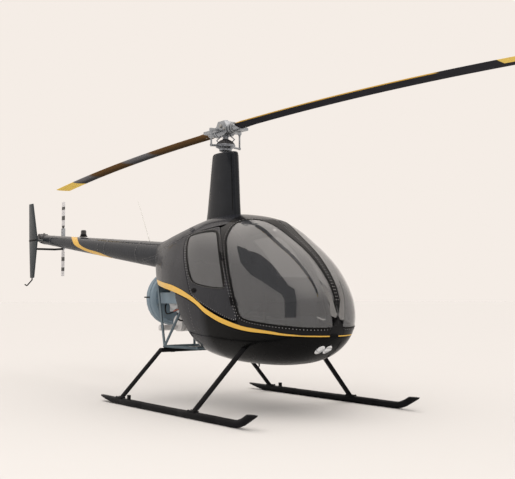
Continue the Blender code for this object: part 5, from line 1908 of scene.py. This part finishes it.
@dataclass
class Tail:
    """Cone, tail rotor blades, strobe and fittings of the tail.

    Attributes:
        front: Middle and radius of the cone's front end.
        rear: Middle and radius of its rear end.
        rotor: Middle of the tail rotor.
    """

    front: tuple[Vector, float] = (Vector((-0.900, 0.0, 1.458)), 0.154)
    rear: tuple[Vector, float] = (Vector((-4.280, 0.0, 1.826)), 0.064)
    rotor: Vector = Vector((-4.362, 0.297, 1.855))

    @property
    def axis(self) -> Vector:
        """Direction aft along the cone."""
        return (self.rear[0] - self.front[0]).normalized()

    def on_axis(self, x: float) -> tuple[Vector, float]:
        """Middle and radius of the cone at x."""
        share = (x - self.front[0].x) / (self.rear[0].x - self.front[0].x)
        return self.front[0].lerp(self.rear[0], share), self.front[1] + share * (self.rear[1] - self.front[1])

    def cone(self) -> None:
        """Build the cone with its seam bands and rivets."""
        length = (self.rear[0] - self.front[0]).length
        front, rear = self.front[1], self.rear[1]
        profile = [(0.0, 0.02), (front - 0.004, 0.02), (front - 0.004, 0.0)]
        profile += [(front + (rear - front) * k / 40, length * k / 40) for k in range(41)]
        profile += [(0.0, length)]
        mesh = turned(profile, facing(self.front[0], self.axis), 96)
        placed("tail_cone_skin", mesh, CONE_PAINT, "airframe", ["tail_cone"], "gloss_black_paint")
        bands, rows = [], []
        for x in (-0.93, -1.55, -2.34, -2.52, -3.30, -4.00, -4.25):
            middle, radius = self.on_axis(x)
            frame = facing(middle, self.axis)
            profile = ((-0.002, -0.013), (0.0008, -0.013), (0.0012, -0.012), (0.0010, 0.012),
                       (0.0004, 0.013), (-0.002, 0.013))
            bands.append(turned([(radius + out, up) for out, up in profile], frame, 96))
            for shift in (-0.008, 0.008):
                rows.append(ring_line(middle + self.axis * shift, self.axis, radius + 0.001, True))
        spots = [self.on_axis(x) for x in np.linspace(-0.96, -4.22, 60)]
        for angle in (0.25 * pi, 0.75 * pi, 1.5 * pi):
            ray = np.array((0.0, cos(angle), sin(angle)))
            rows.append(leaning(np.array([np.array(middle) + ray * radius for middle, radius in spots]), ray))
        placed("cone_bands", merged(bands), CONE_PAINT)
        placed("cone_rivets", FINE_RIVET.along(rows, RIVET), RIVET)

    def strobe(self) -> None:
        """Build the strobe with its lens and base."""
        middle, radius = self.on_axis(-3.12)
        foot = Vector((-3.12, 0.0, middle.z + radius * 1.006 + 0.0058))
        base = turned(((0.0, 0.0), (0.0515, 0.0), (0.0515, 0.004), (0.0405, 0.016), (0.0395, 0.030),
                       (0.036, 0.031), (0.0, 0.031)), Matrix.Translation(foot), 48)
        lens = turned(((0.0, 0.031), (0.036, 0.031), (0.0365, 0.040), (0.0350, 0.044), (0.0365, 0.048),
                       (0.0350, 0.052), (0.0365, 0.056), (0.0350, 0.060), (0.0360, 0.066), (0.0340, 0.078),
                       (0.026, 0.087), (0.012, 0.0895), (0.0, 0.0898)), Matrix.Translation(foot), 48)
        placed("strobe_body", base, SATIN_BLACK, "airframe", ["strobe"], "dark_casting")
        placed("strobe_lens", lens, DIAL)

    def gearbox(self) -> None:
        """Add cooling fins, bolts, filler cap and sight glass to the gearbox."""
        fins, bolts = [], []
        for k in range(7):
            spot = self.rear[0] + self.axis * (0.018 + 0.019 * k)
            radius = 0.067 - 0.0014 * k
            profile = ((0.05, -0.0025), (radius - 0.001, -0.0025), (radius, -0.0015), (radius, 0.0015),
                       (radius - 0.001, 0.0025), (0.05, 0.0025))
            fins.append(turned(profile, facing(spot, self.axis), 48))
        x, _, z = self.rotor
        bolts.append(ring_line((x, -0.0702, z), (0, -1, 0), 0.046))
        cap = turned(((0.0, 0.0), (0.014, 0.0), (0.014, 0.012), (0.010, 0.016), (0.0, 0.016)),
                     facing((x + 0.02, 0.0, z + 0.054), (0, 0, 1)), 6)
        glass = turned(((0.0, 0.006), (0.009, 0.006), (0.012, 0.003), (0.012, -0.002), (0.0, -0.002)),
                       facing((x - 0.03, -0.050, z - 0.01), (0, -1, 0)), 24)
        placed("gearbox_fins", merged(fins), CASTING)
        placed("gearbox_bolts", merged([HEX_BOLT.along(bolts, BOLT), cap]), BOLT)
        placed("gearbox_sight_glass", glass, DIAL)

    def fins(self) -> None:
        """Rivet the fins and cap their joint."""
        rows = []
        for y, lean in ((-0.1712, -1.0), (-0.1488, 1.0)):
            for line in (((-4.235, 1.84), (-4.40, 2.31)), ((-4.44, 1.84), (-4.47, 2.31)),
                         ((-4.225, 1.79), (-4.325, 1.31)), ((-4.44, 1.79), (-4.40, 1.31))):
                rows.append(leaning(np.array([(x, y, z) for x, z in line]), (0.0, lean, 0.0)))
        placed("fin_rivets", FINE_RIVET.along(rows, RIVET), RIVET)
        strip = block((-4.335, -0.1715, 1.812), (0.255, 0.003, 0.022))
        placed("fin_joint_plate", softened(strip, 0.001), SATIN_BLACK)

    def blades(self) -> None:
        """Build the tail rotor blades and the bolts of their hub."""
        x, y, z = self.rotor
        table = ((0.1506, 0.60, 0.0155), (0.17, 0.80, 0.0135), (0.20, 1.0, 0.0118),
                 (0.35, 1.0, 0.0104), (0.52, 1.0, 0.0088), (0.5325, 0.97, 0.006))
        for label, end in (("upper", 1), ("lower", -1)):
            mesh = winged(table, 0.102, 0.45,
                          lambda reach, ahead, up: (x + end * ahead, y + up, z + end * reach))
            placed(f"tail_blade_{label}_skin", mesh, TAIL_BLADE, "tail_rotor", [f"tail_blade_{label}"],
                   "tail_blade_paint")
        rows = [leaning(np.array([(x, y + face * 0.019, z - 0.135), (x, y + face * 0.019, z + 0.135)]),
                        (0.0, float(face), 0.0)) for face in (1, -1)]
        nut = turned(((0.0, 0.0), (0.018, 0.0), (0.018, 0.012), (0.013, 0.016), (0.0, 0.016)),
                     facing((x, y + 0.030, z), (0, 1, 0)), 6)
        placed("tail_hub_bolts", merged([HEX_BOLT.along(rows, BOLT), nut]), BOLT, "tail_rotor")

    def build(self) -> None:
        """Build the whole tail."""
        self.cone()
        self.strobe()
        self.gearbox()
        self.fins()
        self.blades()


@dataclass
class EngineBay:
    """Bolts, hoses and clamps round the engine.

    Attributes:
        crank_z: Height of the crankshaft.
        scroll: Front and rear of the fan scroll.
    """

    crank_z: float = 1.012
    scroll: tuple[float, float] = (-0.900, -1.075)

    def scroll_bolts(self) -> None:
        """Bolt the halves of the scroll and ring its inlet."""
        rings = [ring_line((self.scroll[1] - 0.0005, 0, self.crank_z), (-1, 0, 0), 0.235),
                 ring_line((self.scroll[0] + 0.0005, 0, self.crank_z), (1, 0, 0), 0.240)]
        middle = sum(self.scroll) / 2
        frame = facing((middle, 0, self.crank_z), (-1, 0, 0))
        band = turned(((0.283, -0.010), (0.2875, -0.010), (0.2885, -0.008), (0.2885, 0.008), (0.2875, 0.010),
                       (0.283, 0.010)), frame, 96)
        placed("scroll_band", band, SCROLL_SHELL)
        placed("scroll_bolts", Fastener("scroll_bolts", 0.005, 0.004, 0.075, 6).along(rings, BOLT), BOLT)
        blades = []
        x = self.scroll[1] + 0.03
        for k in range(24):
            c, s = cos(tau * k / 24), sin(tau * k / 24)
            blades.append(tube([(x, 0.150 * c, self.crank_z + 0.150 * s),
                                (x, 0.060 * c - 0.03 * s, self.crank_z + 0.060 * s + 0.03 * c)], 0.006, 8))
        hub = turned(((0.0, 0.0), (0.062, 0.0), (0.060, 0.018), (0.030, 0.026), (0.0, 0.028)),
                     facing((self.scroll[1] + 0.045, 0, self.crank_z), (-1, 0, 0)), 48)
        placed("fan_wheel", merged([*blades, hub]), SILVER)

    def hoses(self) -> None:
        """Run the oil hoses, leads and drain lines."""
        z = self.crank_z
        runs = (
            (0.009, (-0.25, -0.15, -0.08), (-0.20, -0.24, -0.16), (-0.30, -0.30, -0.22),
             (-0.46, -0.26, -0.20), (-0.60, -0.16, -0.10)),
            (0.009, (-0.22, 0.15, -0.06), (-0.18, 0.26, -0.18), (-0.32, 0.28, -0.24),
             (-0.52, 0.18, -0.12)),
            (0.007, (-0.70, -0.14, 0.02), (-0.78, -0.20, -0.06), (-0.70, -0.24, -0.16),
             (-0.56, -0.20, -0.12)),
            (0.006, (-0.60, -0.13, -0.09), (-0.52, -0.27, -0.13), (-0.38, -0.29, -0.11),
             (-0.28, -0.20, -0.10)))
        *black, lead = [tube(curve_through([(x, y, z + up) for x, y, up in run]), radius, 12)
                        for radius, *run in runs]
        studs = tube([(-0.98, -0.284, z + 0.010), (-0.98, -0.345, z + 0.010)], 0.007, 12)
        placed("engine_hoses", merged([*black, studs]), RUBBER)
        placed("ignition_lead", lead, RED_HOSE)
        plugs = []
        for x, y in ((-0.30, 0.335), (-0.52, 0.278)):
            for end in (-1, 1):
                frame = facing((x, end * y, z - 0.010), (0, end, 0))
                plugs.append(turned(((0.0, 0.0), (0.058, 0.0), (0.062, 0.006), (0.056, 0.014), (0.030, 0.017),
                                     (0.0, 0.018)), frame, 8))
        placed("rocker_covers", softened(merged(plugs), 0.003), PALE_CAST)

    def clamps(self) -> None:
        """Clamp the muffler and collar the frame's joints."""
        bands = []
        for y in (-0.12, 0.0, 0.12):
            bands.append(turned(((0.083, -0.009), (0.0865, -0.009), (0.0865, 0.009), (0.083, 0.009)),
                                facing((-0.600, y, 0.755), (0, 1, 0)), 64))
        placed("muffler_clamps", merged(bands), BOLT)
        ball = ((0.0, -0.0175), (0.013, -0.0115), (0.0178, 0.0), (0.013, 0.0115), (0.0, 0.0175))
        spots = ((-0.394, 0.455, 0.5363), (-0.072, 0.455, 0.930), (-0.845, 0.262, 1.165),
                 (0.105, 0.400, 0.5363))
        joints = [turned(ball, Matrix.Translation((x, side * y, z)), 24)
                  for side in (-1, 1) for x, y, z in spots]
        placed("frame_joints", merged(joints), TUBE_STEEL)

    def build(self) -> None:
        """Build what the bay shows besides its solids."""
        self.scroll_bolts()
        self.hoses()
        self.clamps()


@dataclass
class Underside:
    """Mast fairing, lamps and the fittings of the landing gear.

    Attributes:
        skin: The fuselage surface the fairing stands on.
        tread: Half the distance between the skids.
        levels: Height, reach ahead, reach behind and half width of the fairing.
    """

    skin: Skin
    tread: float = 0.928
    levels: Sequence[Point] = ((1.740, 0.2450, 0.320, 0.0820), (1.90, 0.222, 0.285, 0.081),
                               (2.30, 0.195, 0.220, 0.079), (2.440, 0.184, 0.196, 0.078),
                               (2.456, 0.180, 0.190, 0.0755), (2.4645, 0.170, 0.180, 0.069))

    def on_fairing(self, z: float, angle: float) -> Point:
        """A point on the fairing's wall, its angle measured from the nose.

        Args:
            z: Its height.
            angle: Its angle.

        Returns:
            The point.
        """
        table = np.array(self.levels)
        nose, tail, half = (float(np.interp(z, table[:, 0], table[:, k])) for k in (1, 2, 3))
        c, s = cos(angle), sin(angle)
        reach = nose if c > 0 else tail
        return reach * copysign(abs(c) ** 0.9, c), half * s, z

    def fairing(self) -> None:
        """Build the streamlined fairing with its seam and screws."""
        rings = [[self.on_fairing(z, tau * k / 96) for k in range(96)] for z, *_ in self.levels]
        bore = turned(((0.0, 2.20), (0.036, 2.20), (0.036, 2.60), (0.0, 2.60)), steps=48)
        mesh = shaded(carved(loft(rings), [("DIFFERENCE", self.skin.solid(0.0)), ("DIFFERENCE", bore)]), 35.0)
        placed("mast_fairing_skin", mesh, PLAIN_PAINT, "airframe", ["mast_fairing"], "gloss_black_paint")
        rows, seam = [], []
        for side in (-1, 1):
            rear = np.array([(-0.17, side * 0.0642, 1.86), (-0.17, side * 0.0605, 2.42)])
            rows.append(leaning(rear, (-0.25, float(side), 0.0)))
            line = np.array([self.on_fairing(z, side * 0.62) for z in np.linspace(1.87, 2.435, 8)])
            line, lean = leaning(line, (0.5, side * 0.85, 0.0))
            seam.append(rail(line, lean, 0.007, 0.0018, 0.0, False))
            rows.append((line + (-0.020, side * 0.0045, 0.0), lean))
        placed("fairing_seams", merged(seam), TRIM_BLACK)
        loop = np.array([(0.93 * x, 0.93 * y, 2.4652) for x, y, _ in rings[-1]])
        rows.append(leaning(loop, (0.0, 0.0, 1.0)))
        placed("fairing_screws", POP_RIVET.along(rows, RIVET), RIVET)

    def lamps(self) -> None:
        """Ring the landing lamps."""
        rims = []
        for y in LAMP_Y:
            x = LAMP_X
            while self.skin.value(np.array([(x, y, LAMP_Z)]))[0] < 0:
                x += 0.001
            loop = self.skin.snapped(oval((x, y, LAMP_Z), LAMP_RADIUS + 0.002, LAMP_RADIUS + 0.002))
            rims.append(rail(loop, self.skin.normals(loop), 0.006, 0.0025))
        placed("lamp_rims", merged(rims), SILVER)

    def gear(self) -> None:
        """Add wear shoes, saddle bolts and collars to the landing gear."""
        shoes, bolts, collars = [], [], []
        for side in (-1, 1):
            y = side * self.tread
            for start, end in ((-0.40, 0.02), (0.62, 1.18)):
                run = [(x, y, 0.0325) for x in (start, start + 0.01, end - 0.01, end)]
                shoes.append(tube(run, (0.030, 0.0322, 0.0322, 0.030), 32))
            for x in (0.816, -0.425):
                for dx in (-0.045, 0.045):
                    line = np.array([(x + dx, y + dy, 0.0722) for dy in (-0.016, 0.016)])
                    bolts.append(leaning(line, (0.0, 0.0, 1.0)))
        placed("skid_shoes", merged(shoes), SATIN_BLACK)
        small = Fastener("saddle_bolts", 0.005, 0.004, 0.032, 6)
        placed("saddle_bolts", small.along(bolts, SATIN_BLACK), SATIN_BLACK)
        for y in (-0.36, 0.36):
            collars.append(turned(((0.0215, -0.02), (0.0245, -0.02), (0.0245, 0.02), (0.0215, 0.02)),
                                  facing((-0.394, y, 0.50), (0, 1, 0)), 48))
        placed("cross_tube_collars", merged(collars), SATIN_BLACK)

    def build(self) -> None:
        """Build it all."""
        self.fairing()
        self.lamps()
        self.gear()


@dataclass
class Studio:
    """Camera, floor and light.

    Attributes:
        spot: Where the camera stands, in the mast frame.
        turn: Its heading from +X, in degrees.
        lift: How far it looks up, in degrees.
        lens: Its focal length on a 36 mm wide sensor.
        shift: Its shift.
        pale: Colour of the backdrop.
        overhead: Brightness of the light from above.
        sky_rise: Upward share of a direction where that light starts and where it is full.
        floor_tone: Share of the light that the floor throws back.
        light_spot: Where the key light hangs.
        power: Its power in watts.
        screen_y: Where the black screen stands.
    """

    spot: Point = (6.7054, -4.8785, 1.0260)
    turn: float = 141.870
    lift: float = 3.871
    lens: float = 58.12
    shift: Point = (0.0036, 0.0021)
    pale: Point = (0.913, 0.847, 0.791)
    overhead: float = 2.2
    sky_rise: Point = (0.40, 0.85)
    floor_tone: float = 0.575
    light_spot: Point = (5.0, -8.0, 7.5)
    power: float = 150.0
    screen_y: float = -4.5

    def camera(self) -> None:
        """Set the camera at the photograph's viewing angle."""
        data = bpy.data.cameras.new("photo_camera")
        data.sensor_width = 36.0
        data.lens = self.lens
        data.shift_x, data.shift_y = self.shift
        data.clip_end = 200.0
        obj = linked("photo_camera", data)
        turn, lift = radians(self.turn), radians(self.lift)
        ahead = Vector((cos(lift) * cos(turn), cos(lift) * sin(turn), sin(lift)))
        obj.location = Vector(self.spot) + MAST
        obj.rotation_euler = ahead.to_track_quat("-Z", "Y").to_euler()
        bpy.context.scene.camera = obj

    def floor(self) -> None:
        """Lay a plain pale floor."""
        recipe = Recipe(bpy.data.materials.new("studio_floor"))
        tones = [(self.floor_tone * share,) * 3 for share in (0.995, 1.005)]
        material = recipe.surface(Base_Color=recipe.mix(recipe.noise(0.6), *tones), Roughness=0.95,
                                  Specular_IOR_Level=0.0)
        mesh = filled(lambda work: bmesh.ops.create_grid(work, x_segments=1, y_segments=1, size=150.0))
        mesh.materials.append(material)
        linked("studio_floor", mesh)

    def key_light(self) -> None:
        """Hang one soft light over the starboard bow, which doesn't mirror in anything."""
        data = bpy.data.lights.new("key", "AREA")
        data.shape = "RECTANGLE"
        data.size, data.size_y = 5.0, 3.5
        data.energy = self.power
        data.color = (1.0, 0.98, 0.95)
        obj = linked("key", data)
        obj.location = self.light_spot
        obj.rotation_euler = (Vector((0.4, 0.0, 1.2)) - obj.location).to_track_quat("-Z", "Y").to_euler()
        obj.visible_glossy = False

    def screen(self) -> None:
        """Stand a black studio screen to starboard that only mirrors in the glass and the paint."""
        outline = ((-3.98, 7.13), (-1.79, 7.13), (-0.71, 8.66), (0.50, 8.28), (2.06, 6.62), (3.23, 5.32),
                   (4.29, 5.82), (4.10, 3.28), (3.64, 0.60), (2.10, 0.60), (2.30, 2.36), (2.03, 2.94),
                   (1.02, 3.12), (-0.09, 3.37), (-0.99, 3.51), (-2.10, 4.31), (-2.59, 5.29))
        mesh = drawn_out(outline, self.screen_y - 0.01, self.screen_y)
        mesh.transform(Matrix.Translation(MAST))
        mesh.materials.append(RUBBER.made())
        obj = linked("studio_screen", mesh)
        for kind in ("camera", "diffuse", "transmission", "shadow", "volume_scatter"):
            setattr(obj, f"visible_{kind}", False)

    def sky(self) -> None:
        """Light the scene from all round, brighter from above."""
        world = bpy.context.scene.world or bpy.data.worlds.new("studio")
        bpy.context.scene.world = world
        recipe = Recipe(world, "OutputWorld")
        where = recipe.node("TexCoord")
        split = recipe.node("SeparateXYZ", None, {"Vector": where.outputs["Generated"]})
        ramp = recipe.node("MapRange", {"interpolation_type": "SMOOTHSTEP"},
                           {"Value": split.outputs["Z"], "From Min": self.sky_rise[0],
                            "From Max": self.sky_rise[1], "To Min": 1.0, "To Max": self.overhead})
        glow = recipe.node("Background", None, {"Color": self.pale, "Strength": ramp.outputs["Result"]})
        recipe.feed(recipe.out.inputs[0], glow.outputs[0])

    def build(self) -> None:
        """Set up the whole studio."""
        bpy.context.scene.view_settings.view_transform = "Standard"
        self.sky()
        self.camera()
        self.floor()
        self.screen()
        self.key_light()


def main() -> None:
    """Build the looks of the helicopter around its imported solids."""
    logging.basicConfig(level=logging.INFO, format="%(message)s")
    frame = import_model()
    Studio().build()
    skin = Skin()
    Fuselage(skin).build()
    for kept in KEPT:
        kept.build(frame)
    Cabin().build()
    MainRotor().build()
    Tail().build()
    EngineBay().build()
    Underside(skin).build()


if __name__ == "__main__":
    main()
